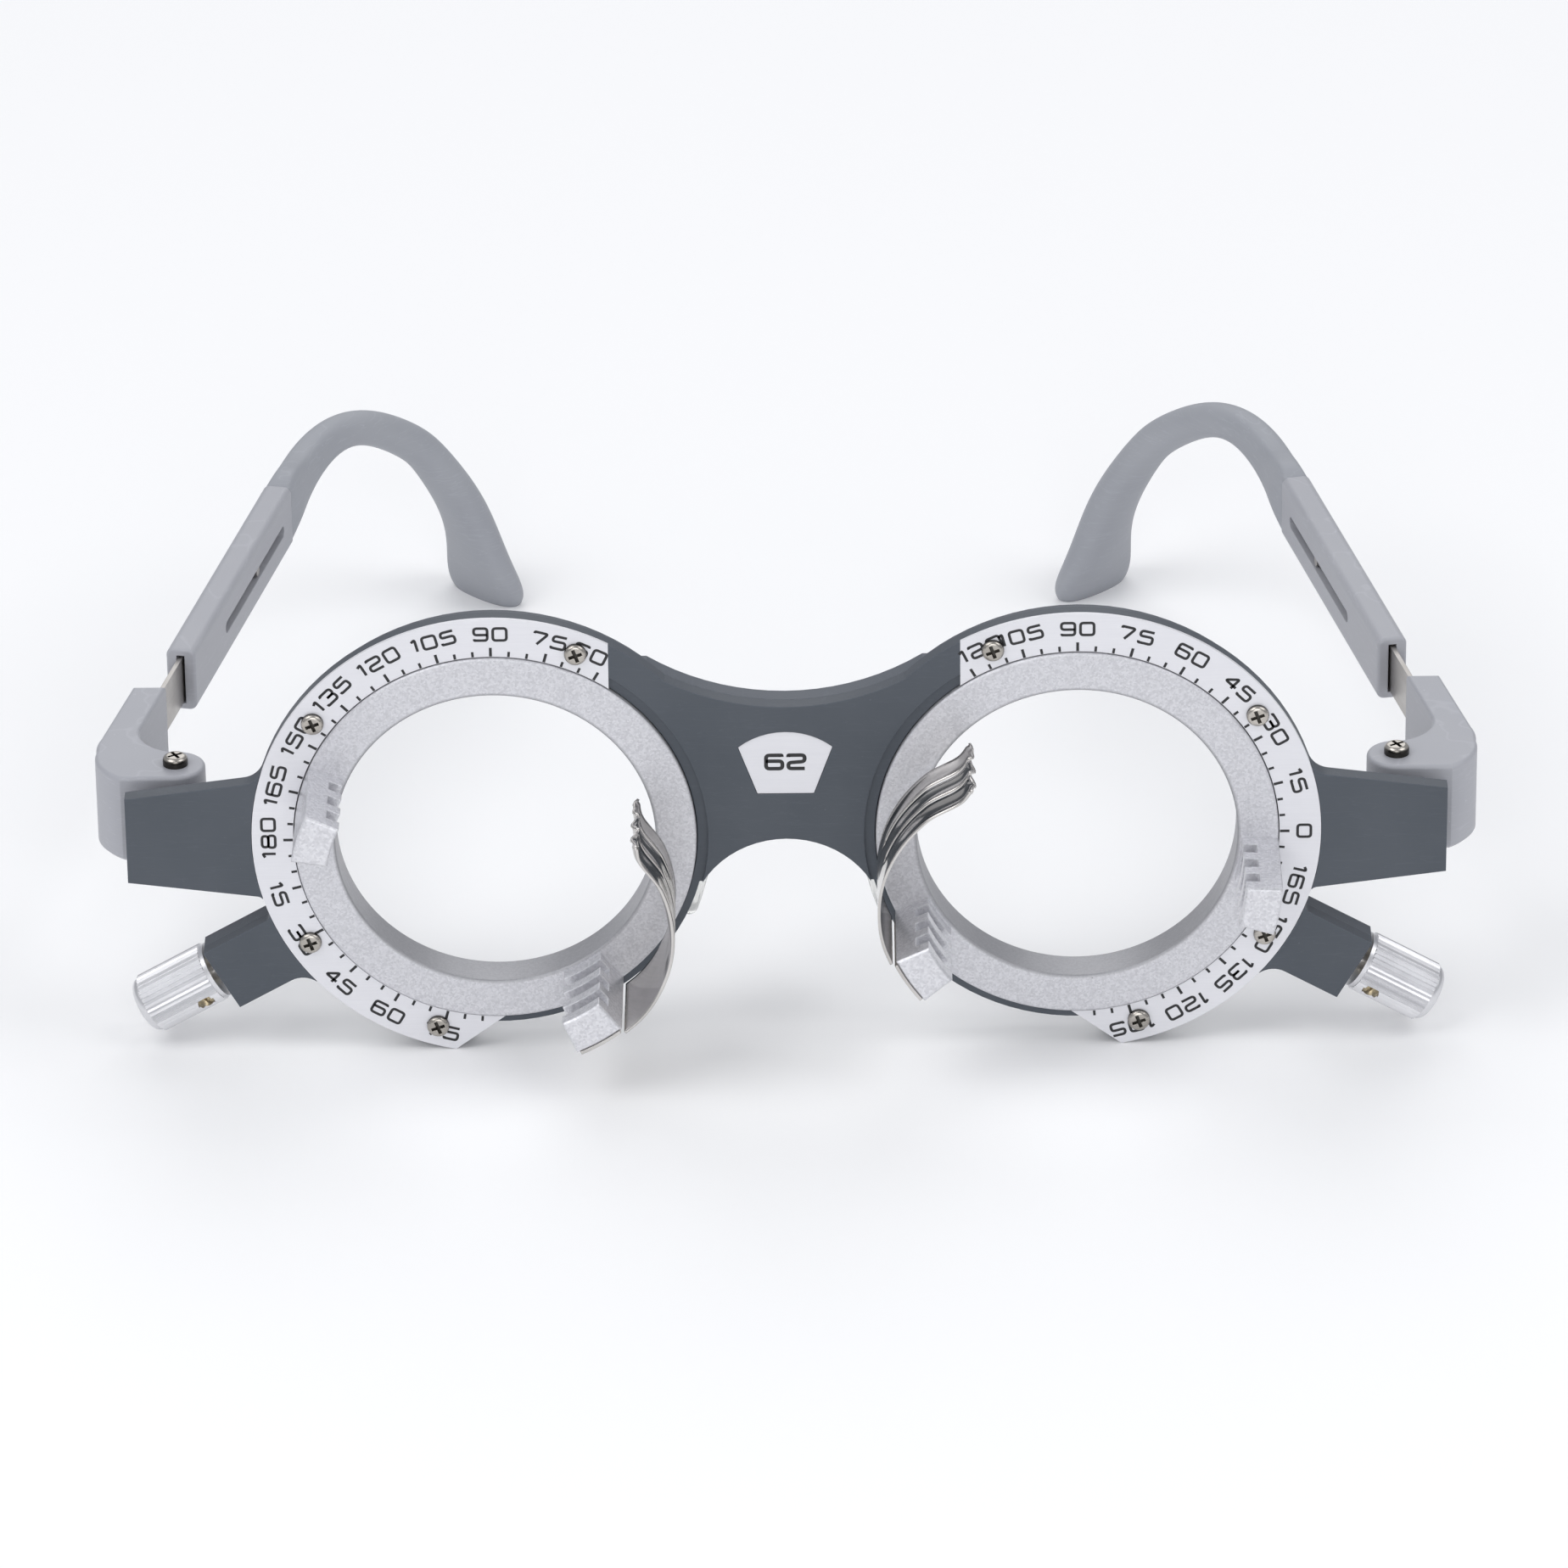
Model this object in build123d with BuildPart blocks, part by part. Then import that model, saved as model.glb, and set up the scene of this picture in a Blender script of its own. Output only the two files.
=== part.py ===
# Optometric trial lens frame with a fixed 62 mm lens-centre distance, in millimetres.
#
# +Z is up, +Y runs from the lens side back along the temples, and X is the width.  The origin is on
# the table, in the plane of symmetry, halfway between the frontmost and the rearmost point.  "left"
# is the -X side.  A depth is measured back from the scale faces, and heights in the sketches of the
# front are measured from the two lens axes.
import os
from math import cos, pi, radians, sin

from build123d import *

os.makedirs("parts", exist_ok=True)
sides = {"left": -1, "right": 1}

# ---- driving dimensions ----
lens_centres = 62.0  # distance between the two lens axes
lens_radius = 19.0  # rim of a standard 38 mm trial lens
overall_depth = 128.28  # front of the lens combs to the back of the ear hooks
running_gap = 0.05  # radial clearance of a shaft or a pin in its bore
loose_gap = 0.12  # clearance of larger moving faces

# front housing and back cover
plate_thickness = 0.4
raised_height = 0.42  # bridge, lugs and arms above the seat of the scale plates
split_depth = 1.8  # joint between the front housing and the back cover
cover_thickness = 2.1
cover_inset = 0.8  # the cover's rings are this much smaller than the housing's
nose_wall = 0.95  # housing left around the cell, below the bridge and beside the nose
bridge_clearance = 0.3  # from that wall to the raised face of the bridge
bridge_dip = 15.3  # lowest point of the bridge's top edge
bridge_top_radius = 27.0
bridge_shoulder = 19.6  # where the bridge's sides end, inside the rings
arch_top = -0.4
arch_radius = 10.4
arch_foot = -5.6
lug_length = 13.4  # out from the ring
lug_outer_height = 10.0
lug_overlap = 2.0
lug_root_height = 14.0
lug_inset = 1.4  # the cover's lug is smaller all round
arm_angle = 29.6  # degrees below the horizontal
arm_length = 8.3  # out from the ring
arm_width = 7.5
web_fillet = 2.5
notch_fillet = 0.8  # between a lug and the arm below it

# scale plates and the centre plate
plate_end = 12.4  # from the lens axis to the plate's upper end
foot_slope = 0.74  # slant of the plate's lower end, beside the nose
foot_offset = 0.7  # where that end starts, inside the lens axis
plate_fit = 0.05
scale_width = 4.55  # from the rotating cell to the outside
plate_screw_offset = 2.15  # out from the rotating cell
plate_screw_angles = (36.0, -31.5, -73.5, 112.3)  # right plate, mirrored on the left
pan_head_radius = 1.2
pan_head_height = 0.65
pan_head_rounding = 0.45
pan_cross = 1.5
pan_cross_width = 0.38
pan_cross_depth = 0.45
screw_radius = 0.6
screw_length = 2.2
cover_screw_inset = 1.6  # from the ring walls
cover_screw_z = 2.6
centre_plate_width = 10.0
centre_plate_foot = 6.0
centre_plate_height = 7.3
centre_plate_middle = 8.65
centre_plate_dome = 1.8
centre_plate_recess = 0.3
centre_plate_thickness = 0.2

# rotating lens cells
flange_wall = 2.35  # flange beyond the lens grooves
flange_front = -0.3
flange_back = 0.7
flange_chamfer = 0.15
hub_step = 1.7  # the hub is this much smaller than the flange
lens_seat_width = 1.9  # from the rim of a lens in to the clear aperture
retaining_lip = 0.65  # the retaining ring is this much larger than the hub
retaining_ring_thickness = 0.6
comb_front = -12.0
comb_span = 15.0  # degrees of arc covered by one comb
comb_spread = 138.0  # degrees between the two combs of a cell
comb_tip_depth = 1.5  # how far the comb's teeth reach over a lens
lens_groove_clearance = 0.1
lens_groove_depths = (-2.7, -6.0, -9.3)
lens_groove_width = 1.9
comb_chamfer = 0.2
cell_turn = {"left": 163.0, "right": -9.5}  # where each cell's first comb stands

# spring clips
leaf_thickness = 0.35
leaf_back = -1.2
leaf_slit = 0.7
leaf_fingers = 3
slit_span = 45.0
foot_sweep = 13.0  # degrees of arc of the riveted foot
leaf_gap = 1.0  # degrees of arc between the foot and the leaf's bend
# degrees of arc along the leaf, and how far it stands outside the flange's radius there
leaf_route = (
    (0.0, 0.7),
    (6.0, 0.65),
    (18.0, 0.05),
    (34.0, -1.35),
    (50.0, -3.35),
    (64.0, -5.35),
    (70.0, -5.15),
)
slit_station = 3
rivet_shares = (0.72, 0.32)  # of the comb's depth
rivet_radius = 0.75
rivet_head_ratio = 1.6
rivet_length = 1.6
rivet_head_height = 0.4

# crown gear under each flange, pinion, shaft and knob
crown_teeth = 60
pinion_teeth = 7
mesh_inset = 0.4  # pitch circle inside the flange's edge
mesh_depth = 1.0
tooth_addendum = 0.25
tooth_dedendum = 0.4
tooth_width = 0.82
tooth_taper = 84
crown_tooth_length = 1.45
crown_tooth_inset = 0.05
pinion_inset = 0.73  # pinion's inner end inside the flange's edge
pinion_length = 1.3
shaft_radius = 1.0
bush_radius = 1.6
bush_length = 5.0
barrel_radius = 3.45
knob_gap = 0.8
knob_radius = 3.35
knob_length = 9.2
knob_grooves = 40
knob_groove_depth = 0.2
knob_collar = 0.5  # plain length at the arm's end
knob_rounding = 1.0
shaft_share = 0.8  # of the knob's length that the shaft fills
set_screw_share = 0.25  # of the knob's length, from its inner end
set_screw_radius = 0.95
set_screw_length = 1.9
set_screw_turn = 35.0  # degrees below the front
set_screw_flat = 0.8  # depth of its seat from the shaft's axis
driver_slot_width = 0.3
driver_slot_depth = 0.5

# temple hinges
hinge_offset = 8.4  # out from the ring to the hinge screw
hinge_standoff = 4.3  # behind the back cover
hinge_screw_radius = 0.8
hinge_head_radius = 1.35
hinge_head_height = 1.1
hinge_head_rounding = 0.6
hinge_cross = 1.7
hinge_cross_width = 0.35
hinge_screw_recess = 0.3
knuckle_radius = 3.0
knuckle_height = 4.6
block_height = 10.1
block_end_radius = 3.2
block_outer_offset = 8.7  # out from the hinge screw
block_length = 21.9
block_rounding = 0.45
block_chamfer = 0.5

# temples
temple_toe = 11.8  # degrees that each temple leans inwards
temple_offset = 3.7  # temple's middle at the back of the hinge block, out from the hinge screw
blade_thickness = 0.5
blade_height = 5.4
blade_end_gap = 8.5  # from the blade's end to the sleeve's end
blade_root = 8.0  # length held in the hinge block
sleeve_start = 12.0
sleeve_width = 3.3
sleeve_height = 7.4
sleeve_rounding = 0.9
sleeve_end_rounding = 0.35
sleeve_slot_gap = 0.2
sleeve_floor = 1.0
adjusting_slot_length = 26.0
adjusting_slot_gap = 3.5  # from the slot to the sleeve's end
adjusting_slot_height = 1.4
peg_gap = 14.5  # from the peg to the sleeve's end
peg_radius = 0.55

# ear hooks: how far each section's middle lies inwards of and behind the sleeve's end, its share of
# the way down from the lens axes to the table, then its width, its height and how square it is
hook_reach = 36.03  # sleeve's end to the back of the hook
hook_stations = (
    (0.0, 0.0, 0.0, 3.3, 7.4, 5.0),
    (1.75, 7.75, -0.03, 3.5, 5.9, 3.2),
    (4.05, 14.75, -0.06, 3.8, 4.6, 2.4),
    (7.75, 20.25, -0.055, 4.0, 4.1, 2.0),
    (11.55, 24.05, 0.035, 4.2, 4.2, 2.0),
    (15.15, 26.75, 0.17, 4.5, 4.4, 2.0),
    (18.0, 28.6, 0.36, 6.2, 4.8, 2.0),
    (20.3, 30.2, 0.585, 8.4, 5.0, 2.2),
    (21.6, 30.87, 0.8, 11.4, 4.9, 2.4),
    (22.3, 31.57, 0.945, 11.4, 4.2, 2.4),
    (22.6, 31.87, 1.025, 8.6, 3.2, 2.2),
)

# nose pads
pad_offset = 0.3  # the pad's middle outside its wire's root
pad_depth = 9.0
pad_z = -7.5
pad_width = 7.0
pad_height = 13.0
pad_thickness = 2.2
pad_splay = 14.0
pad_wire_radius = 0.55
pad_wire_offset = 0.35  # the wire's root inside the cell's edge
pad_wire_z = 1.5
pad_wire_run = 4.2
elbow_lift = 2.1
pad_rounding = 0.85
ball_radius = 1.1
ball_lift = 0.8  # middle of the ball above the pad's outer face
socket_wall = 0.8
socket_grip = 0.33  # how far the socket reaches past the ball's middle

# ---- worked out from them ----
lens_groove_radius = lens_radius + lens_groove_clearance
comb_tip_radius = lens_groove_radius - comb_tip_depth
aperture_radius = lens_radius - lens_seat_width
flange_radius = lens_groove_radius + flange_wall
hub_radius = flange_radius - hub_step
retaining_ring_radius = hub_radius + retaining_lip
ring_radius = flange_radius + scale_width
plate_screw_circle = flange_radius + plate_screw_offset
nose_radius = flange_radius + nose_wall
bridge_recess = nose_radius + bridge_clearance
bridge_reach = lens_centres / 2 - plate_end
ring_side = lens_centres / 2 + ring_radius
lug_reach = ring_side + lug_length
lug_root = ring_side - lug_overlap
arm_reach = ring_radius + arm_length
cover_back = split_depth + cover_thickness
rivet_depths = [share * comb_front for share in rivet_shares]

mesh_radius = flange_radius - mesh_inset
crown_tooth_inner = flange_radius - crown_tooth_length
pinion_inner = flange_radius - pinion_inset
pinion_radius = mesh_radius * pinion_teeth / crown_teeth
shaft_depth = mesh_depth + pinion_radius
pinion_pocket = pinion_radius + tooth_addendum + loose_gap
knob_start = arm_reach + knob_gap
shaft_end = knob_start + shaft_share * knob_length

front_y = -overall_depth / 2 - comb_front
hinge_x = ring_side + hinge_offset
hinge_depth = cover_back + hinge_standoff
block_front = hinge_depth - block_end_radius
cap_back = hinge_depth + block_end_radius
block_back = block_front + block_length
block_outer = hinge_x + block_outer_offset
temple_x = hinge_x + temple_offset
hook_back = overall_depth + comb_front
sleeve_end = (hook_back - hook_reach - block_back) / cos(radians(temple_toe))
sleeve_length = sleeve_end - sleeve_start
sleeve_cavity = sleeve_length - sleeve_floor
blade_length = sleeve_end - blade_end_gap
peg_run = sleeve_end - peg_gap
adjusting_slot_end = sleeve_end - adjusting_slot_gap
adjusting_slot_start = adjusting_slot_end - adjusting_slot_length
pad_wire_x = lens_centres / 2 - flange_radius - pad_wire_offset
pad_x = pad_wire_x + pad_offset


def face_plane(side=0, depth=0.0, angle=0.0):
    """A plane across a lens axis (or the middle), facing forwards, at a depth and turned by an angle."""
    origin = (side * lens_centres / 2, front_y + depth, axis_z)
    x_dir = (cos(radians(angle)), 0, sin(radians(angle)))
    return Plane(origin=origin, x_dir=x_dir, z_dir=(0, -1, 0))


def level_plane(height=0.0):
    """A level plane whose x and y are the width and the depth, at a height above the lens axes."""
    return Plane(origin=(0, front_y, axis_z + height))


def arm_turn(side):
    """The angle at which an adjusting shaft leaves its lens axis."""
    return 90 - side * (90 + arm_angle)


def arm_plane(side, reach):
    """A plane across an adjusting shaft, at a distance from the lens axis, facing outwards."""
    out = (side * cos(radians(arm_angle)), 0, -sin(radians(arm_angle)))
    origin = (
        side * lens_centres / 2 + reach * out[0],
        front_y + shaft_depth,
        axis_z + reach * out[2],
    )
    return Plane(origin=origin, x_dir=(0, 1, 0), z_dir=out)


def temple_plane(side, run):
    """A plane across a temple, at a distance behind the hinge block; its y is up, side * x inwards."""
    along = (-side * sin(radians(temple_toe)), cos(radians(temple_toe)), 0)
    origin = (
        side * temple_x + run * along[0],
        front_y + block_back + run * along[1],
        axis_z,
    )
    return Plane(origin=origin, x_dir=(-along[1], along[0], 0), z_dir=along)


def arc_sector(inner, outer, start, sweep):
    """An annular sector around the sketch's origin."""
    with BuildSketch() as sector:
        with BuildLine():
            far = CenterArc((0, 0), outer, start, sweep)
            near = CenterArc((0, 0), inner, start, sweep)
            Line(far @ 0, near @ 0)
            Line(far @ 1, near @ 1)
        make_face()
    return sector.sketch


def plate_ends(side, upper):
    """The part of a ring that its scale plate leaves out, towards the bridge and the nose."""
    far = 2 * ring_radius
    foot = (-foot_offset, -flange_radius)
    foot_out = (foot[0] + far, foot[1] - far * foot_slope)
    top = [(-far, far), (-plate_end, far), (-plate_end, 0)] if upper else [(-far, far / 2), (0, 0)]
    points = [*top, foot, foot_out, (-far, foot_out[1])]
    with BuildSketch() as ends:
        with Locations((side * lens_centres / 2, 0)):
            Polygon(*[(side * x, z) for x, z in points], align=None)
    return ends.sketch


def cut_ring(side, radius):
    """One ring of the outline, cut aslant towards the nose."""
    with BuildSketch() as ring:
        with Locations((side * lens_centres / 2, 0)):
            Circle(radius)
        add(plate_ends(side, upper=False), mode=Mode.SUBTRACT)
    return ring.sketch


def frame_outline(radius, inset=0.0):
    """Both rings, the bridge, the temple lugs and the arms of the adjusting shafts."""
    with BuildSketch() as outline:
        for side in sides.values():
            add(cut_ring(side, radius))
        for side in sides.values():
            centre = side * lens_centres / 2
            with Locations((centre, 0)):
                Circle(nose_radius)
            outer_half = lug_outer_height / 2 - inset
            root_half = lug_root_height / 2 - inset
            lug = [(lug_reach - inset, outer_half), (lug_root, root_half)]
            lug += [(x, -z) for x, z in reversed(lug)]
            Polygon(*[(side * x, z) for x, z in lug], align=None)
            with Locations(Location((centre, 0), arm_turn(side))):
                with Locations((arm_reach / 2, 0)):
                    Rectangle(arm_reach, arm_width)
            for corner in outline.vertices():
                beyond = side * (corner.X - centre) > 0
                on_ring = abs(Vector(corner.X - centre, corner.Y).length - radius) < 0.01
                in_notch = -radius * sin(radians(arm_angle)) < corner.Y < 0
                if beyond and on_ring and corner.Y > -0.8 * radius:
                    nearest = outline.vertices().sort_by_distance(corner)[0]
                    fillet(nearest, notch_fillet if in_notch else web_fillet)
        with BuildSketch(mode=Mode.PRIVATE) as bridge:
            with Locations((0, (bridge_shoulder + arch_foot) / 2)):
                Rectangle(2 * bridge_reach, bridge_shoulder - arch_foot)
            with Locations((0, bridge_dip + bridge_top_radius)):
                Circle(bridge_top_radius, mode=Mode.SUBTRACT)
            with Locations((0, arch_top - arch_radius)):
                Circle(arch_radius, mode=Mode.SUBTRACT)
        add(bridge.sketch)
    return outline.sketch


def plate_sketch(side, gap=0.0):
    """A scale plate: a ring sector cut upright at the bridge and aslant beside the nose."""
    with BuildSketch() as plate:
        with Locations((side * lens_centres / 2, 0)):
            Circle(ring_radius + gap)
        add(plate_ends(side, upper=True), mode=Mode.SUBTRACT)
        with Locations((side * lens_centres / 2, 0)):
            Circle(flange_radius + loose_gap, mode=Mode.SUBTRACT)
    return plate.sketch


def centre_plate_sketch(gap=0.0):
    """The shield-shaped plate with the lens-centre distance, domed at its top edge."""
    top = centre_plate_middle + centre_plate_height / 2
    shoulder = top - centre_plate_dome
    foot = top - centre_plate_height
    with BuildSketch() as plate:
        with BuildLine():
            Polyline(
                (centre_plate_width / 2, shoulder),
                (centre_plate_foot / 2, foot),
                (-centre_plate_foot / 2, foot),
                (-centre_plate_width / 2, shoulder),
            )
            ThreePointArc(
                (-centre_plate_width / 2, shoulder), (0, top), (centre_plate_width / 2, shoulder)
            )
        make_face()
        if gap:
            offset(amount=gap)
    return plate.sketch


def plate_screw_places(side):
    """Where a scale plate's screws stand, in the sketch frame of the front."""
    for angle in plate_screw_angles:
        turned = radians(angle)
        x = side * (lens_centres / 2 + plate_screw_circle * cos(turned))
        yield x, plate_screw_circle * sin(turned)


def set_screw_plane(side, reach):
    """A plane across a knob's set screw, at a distance from the shaft's axis, facing outwards."""
    middle = arm_plane(side, knob_start + set_screw_share * knob_length)
    turned = radians(set_screw_turn)
    facing = -side * sin(turned) * middle.y_dir - cos(turned) * middle.x_dir
    return Plane(middle.origin + reach * facing, x_dir=middle.z_dir, z_dir=facing)


def knurled_points():
    """The knob's outline: ridges at its full radius, with a groove between each two."""
    for step in range(2 * knob_grooves):
        radius = knob_radius - step % 2 * knob_groove_depth
        turned = pi * step / knob_grooves
        yield radius * cos(turned), radius * sin(turned)


def block_outline(side):
    """Plan of a hinge block: a round cap over the screw, swept back to the temple's end."""
    end = (hinge_x - block_end_radius, hinge_depth)
    front_corner = (block_outer - 2.9, block_front)
    side_start = (block_outer, block_front + 6.5)
    side_end = (block_outer - 0.3, block_front + 9.6)
    back_outer = (temple_x + 2.0, block_back)
    back_inner = (temple_x - 1.6, block_back)
    wall_start = (temple_x + 0.6, cap_back + 5.4)
    with BuildSketch() as plan:
        with BuildLine():
            Line((hinge_x, block_front), front_corner)
            ThreePointArc(front_corner, (block_outer - 0.75, block_front + 2.3), side_start)
            ThreePointArc(side_start, (block_outer + 0.02, block_front + 8.2), side_end)
            Polyline(side_end, back_outer, back_inner, wall_start)
            ThreePointArc(wall_start, (temple_x - 0.1, cap_back + 2.3), (hinge_x + 0.6, cap_back))
            Line((hinge_x + 0.6, cap_back), (hinge_x, cap_back))
            ThreePointArc((hinge_x, cap_back), end, (hinge_x, block_front))
        make_face()
        if side < 0:
            mirror(about=Plane.YZ, mode=Mode.REPLACE)
    return plan.sketch


def rounded_section(width, height, exponent):
    """A closed section between an ellipse (exponent 2) and a rectangle (a high exponent)."""
    count = 16
    points = []
    for step in range(count):
        turned = 2 * pi * (step + 0.5) / count
        x, y = cos(turned), sin(turned)
        scale = (abs(x) ** exponent + abs(y) ** exponent) ** (-1 / exponent)
        points.append((width / 2 * scale * x, height / 2 * scale * y))
    with BuildSketch() as section:
        with BuildLine():
            Spline(*points, periodic=True)
        make_face()
    return section.sketch


def hook_places(side):
    """The middles of an ear hook's sections, the first one at the sleeve's end."""
    start = temple_plane(side, sleeve_end).origin
    for inwards, behind, drop, *_ in hook_stations:
        yield start + Vector(-side * inwards, behind, -drop * axis_z)


def nose_pad_plane(side):
    """A plane through the middle of a nose pad, facing away from the nose, with its y upwards."""
    middle = (side * pad_x, front_y + pad_depth, axis_z + pad_z)
    tilt = radians(pad_splay)
    return Plane(middle, x_dir=(0, side, 0), z_dir=(side * cos(tilt), 0, sin(tilt)))


inner_screw_x = lens_centres / 2 - nose_radius - cover_screw_inset
cover_screw_spots = ((inner_screw_x, cover_screw_z), (ring_side + cover_screw_inset, 0.0))
cover_screw_places = [(side * x, z) for side in sides.values() for x, z in cover_screw_spots]

# ---- front housing ----
outline = frame_outline(ring_radius)
axis_z = -outline.bounding_box().min.Y  # the housing stands on the table
with BuildPart() as front_housing:
    with BuildSketch(face_plane(depth=split_depth)):
        add(outline)
    extrude(amount=split_depth - raised_height)
    with BuildSketch(face_plane(depth=raised_height)):
        add(outline)
        for side in sides.values():
            add(plate_sketch(side, plate_fit), mode=Mode.SUBTRACT)
            with Locations((side * lens_centres / 2, 0)):
                Circle(bridge_recess, mode=Mode.SUBTRACT)
    extrude(amount=raised_height)
    with BuildSketch(face_plane(depth=split_depth)):
        for side in sides.values():
            with Locations((side * lens_centres / 2, 0)):
                Circle(flange_radius + loose_gap)
    extrude(amount=split_depth, mode=Mode.SUBTRACT)
    with BuildSketch(face_plane(depth=centre_plate_recess)):
        add(centre_plate_sketch(plate_fit))
    extrude(amount=centre_plate_recess, mode=Mode.SUBTRACT)
    with BuildSketch(face_plane(depth=split_depth)):
        for side in sides.values():
            with Locations(*plate_screw_places(side)):
                Circle(screw_radius)
    extrude(amount=split_depth, mode=Mode.SUBTRACT)
    with BuildSketch(face_plane(depth=split_depth)):
        with Locations(*cover_screw_places):
            Circle(screw_radius)
    extrude(amount=split_depth - raised_height, mode=Mode.SUBTRACT)
    for side in sides.values():
        with BuildSketch(arm_plane(side, pinion_inner - loose_gap)):
            Circle(pinion_pocket)
        extrude(amount=pinion_length + 3 * loose_gap, mode=Mode.SUBTRACT)
front_housing.part.label = "front_housing"
export_step(front_housing.part, "parts/front_housing.step")

# ---- back cover, with the shaft barrels and the hinge knuckles ----
with BuildPart() as back_cover:
    with BuildSketch(face_plane(depth=cover_back)):
        add(frame_outline(ring_radius - cover_inset, lug_inset))
    extrude(amount=cover_thickness)
    for side in sides.values():
        with BuildSketch(arm_plane(side, arm_reach)):
            Circle(barrel_radius)
        extrude(amount=pinion_inner - arm_reach)
    with BuildSketch(face_plane(depth=split_depth)):
        Rectangle(4 * lug_reach, 4 * ring_radius)
    extrude(amount=split_depth - shaft_depth + 2 * barrel_radius, mode=Mode.SUBTRACT)
    with BuildSketch(face_plane(depth=cover_back + barrel_radius)):
        for side in sides.values():
            with Locations((side * lens_centres / 2, 0)):
                Circle(hub_radius + loose_gap)
    extrude(amount=cover_thickness + barrel_radius, mode=Mode.SUBTRACT)
    for side in sides.values():
        with BuildSketch(arm_plane(side, pinion_inner - loose_gap)):
            Circle(pinion_pocket)
        extrude(amount=pinion_length + 3 * loose_gap, mode=Mode.SUBTRACT)
        with BuildSketch(arm_plane(side, arm_reach)):
            Circle(shaft_radius + running_gap)
        extrude(amount=pinion_inner - arm_reach, mode=Mode.SUBTRACT)
        with BuildSketch(arm_plane(side, arm_reach)):
            Circle(bush_radius)
        extrude(amount=-bush_length, mode=Mode.SUBTRACT)
        with BuildSketch(level_plane(-knuckle_height / 2)):
            with Locations((side * hinge_x, hinge_depth)):
                Circle(knuckle_radius)
            with Locations((side * hinge_x, (hinge_depth + split_depth) / 2)):
                Rectangle(2 * knuckle_radius, hinge_depth - split_depth)
        extrude(amount=knuckle_height)
        with BuildSketch(level_plane(-knuckle_height / 2)):
            with Locations((side * hinge_x, hinge_depth)):
                Circle(hinge_screw_radius + running_gap)
        extrude(amount=knuckle_height, mode=Mode.SUBTRACT)
    with BuildSketch(face_plane(depth=split_depth + screw_length)):
        for side in sides.values():
            with Locations(*plate_screw_places(side)):
                Circle(screw_radius)
        with Locations(*cover_screw_places):
            Circle(screw_radius)
    extrude(amount=screw_length, mode=Mode.SUBTRACT)
back_cover.part.label = "back_cover"
export_step(back_cover.part, "parts/back_cover.step")

# ---- centre plate and scale plates ----
with BuildPart() as centre_plate:
    with BuildSketch(face_plane(depth=centre_plate_recess)):
        add(centre_plate_sketch())
    extrude(amount=centre_plate_thickness)
centre_plate.part.label = "centre_plate"
export_step(centre_plate.part, "parts/centre_plate.step")

for hand, side in sides.items():
    with BuildPart() as scale_plate:
        with BuildSketch(face_plane(depth=plate_thickness)):
            add(plate_sketch(side))
            with Locations(*plate_screw_places(side)):
                Circle(screw_radius, mode=Mode.SUBTRACT)
        extrude(amount=plate_thickness)
    scale_plate.part.label = f"scale_plate_{hand}"
    export_step(scale_plate.part, f"parts/scale_plate_{hand}.step")

# ---- pan-head screws of the scale plates and of the cover ----
with BuildPart() as plate_screws:
    for side in sides.values():
        for place in plate_screw_places(side):
            with BuildSketch(face_plane()):
                with Locations(place):
                    Circle(pan_head_radius)
            extrude(amount=pan_head_height)
            with BuildSketch(face_plane()):
                with Locations(place):
                    Circle(screw_radius)
            extrude(amount=-screw_length)
    head_rims = plate_screws.edges().filter_by(GeomType.CIRCLE).group_by(Axis.Y)[0]
    fillet(head_rims, pan_head_rounding)
    with BuildSketch(face_plane(depth=-pan_head_height)):
        for side in sides.values():
            with Locations(*[Location(place, 20) for place in plate_screw_places(side)]):
                Rectangle(pan_cross, pan_cross_width)
                Rectangle(pan_cross_width, pan_cross)
    extrude(amount=-pan_cross_depth, mode=Mode.SUBTRACT)
plate_screws.part.label = "plate_screws"
export_step(plate_screws.part, "parts/plate_screws.step")

with BuildPart() as cover_screws:
    for place in cover_screw_places:
        with BuildSketch(face_plane(depth=cover_back)):
            with Locations(place):
                Circle(pan_head_radius)
        extrude(amount=-pan_head_height)
        with BuildSketch(face_plane(depth=cover_back)):
            with Locations(place):
                Circle(screw_radius)
        extrude(amount=screw_length)
    head_rims = cover_screws.edges().filter_by(GeomType.CIRCLE).group_by(Axis.Y)[-1]
    fillet(head_rims, pan_head_rounding)
    with BuildSketch(face_plane(depth=cover_back + pan_head_height)):
        with Locations(*[Location(place, 45) for place in cover_screw_places]):
            Rectangle(pan_cross, pan_cross_width)
            Rectangle(pan_cross_width, pan_cross)
    extrude(amount=pan_cross_depth, mode=Mode.SUBTRACT)
cover_screws.part.label = "cover_screws"
export_step(cover_screws.part, "parts/cover_screws.step")

# ---- rotating cells: ring with crown gear, retaining ring, two combs and the spring clip ----


def leaf_points(turn, sweep, shift=0.0):
    """Points along a spring leaf, from its bend to its tips, in the sketch frame of its cell."""
    for angle, outside in leaf_route:
        turned = radians(turn + sweep * angle)
        radius = flange_radius + outside + shift
        yield radius * cos(turned), radius * sin(turned)


def rivet_plane(side, depth, angle):
    """A plane on the outside of a comb, facing away from the lens axis."""
    across = face_plane(side, depth, angle)
    return Plane(across.origin + flange_radius * across.x_dir, x_dir=(0, 1, 0), z_dir=across.x_dir)


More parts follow.
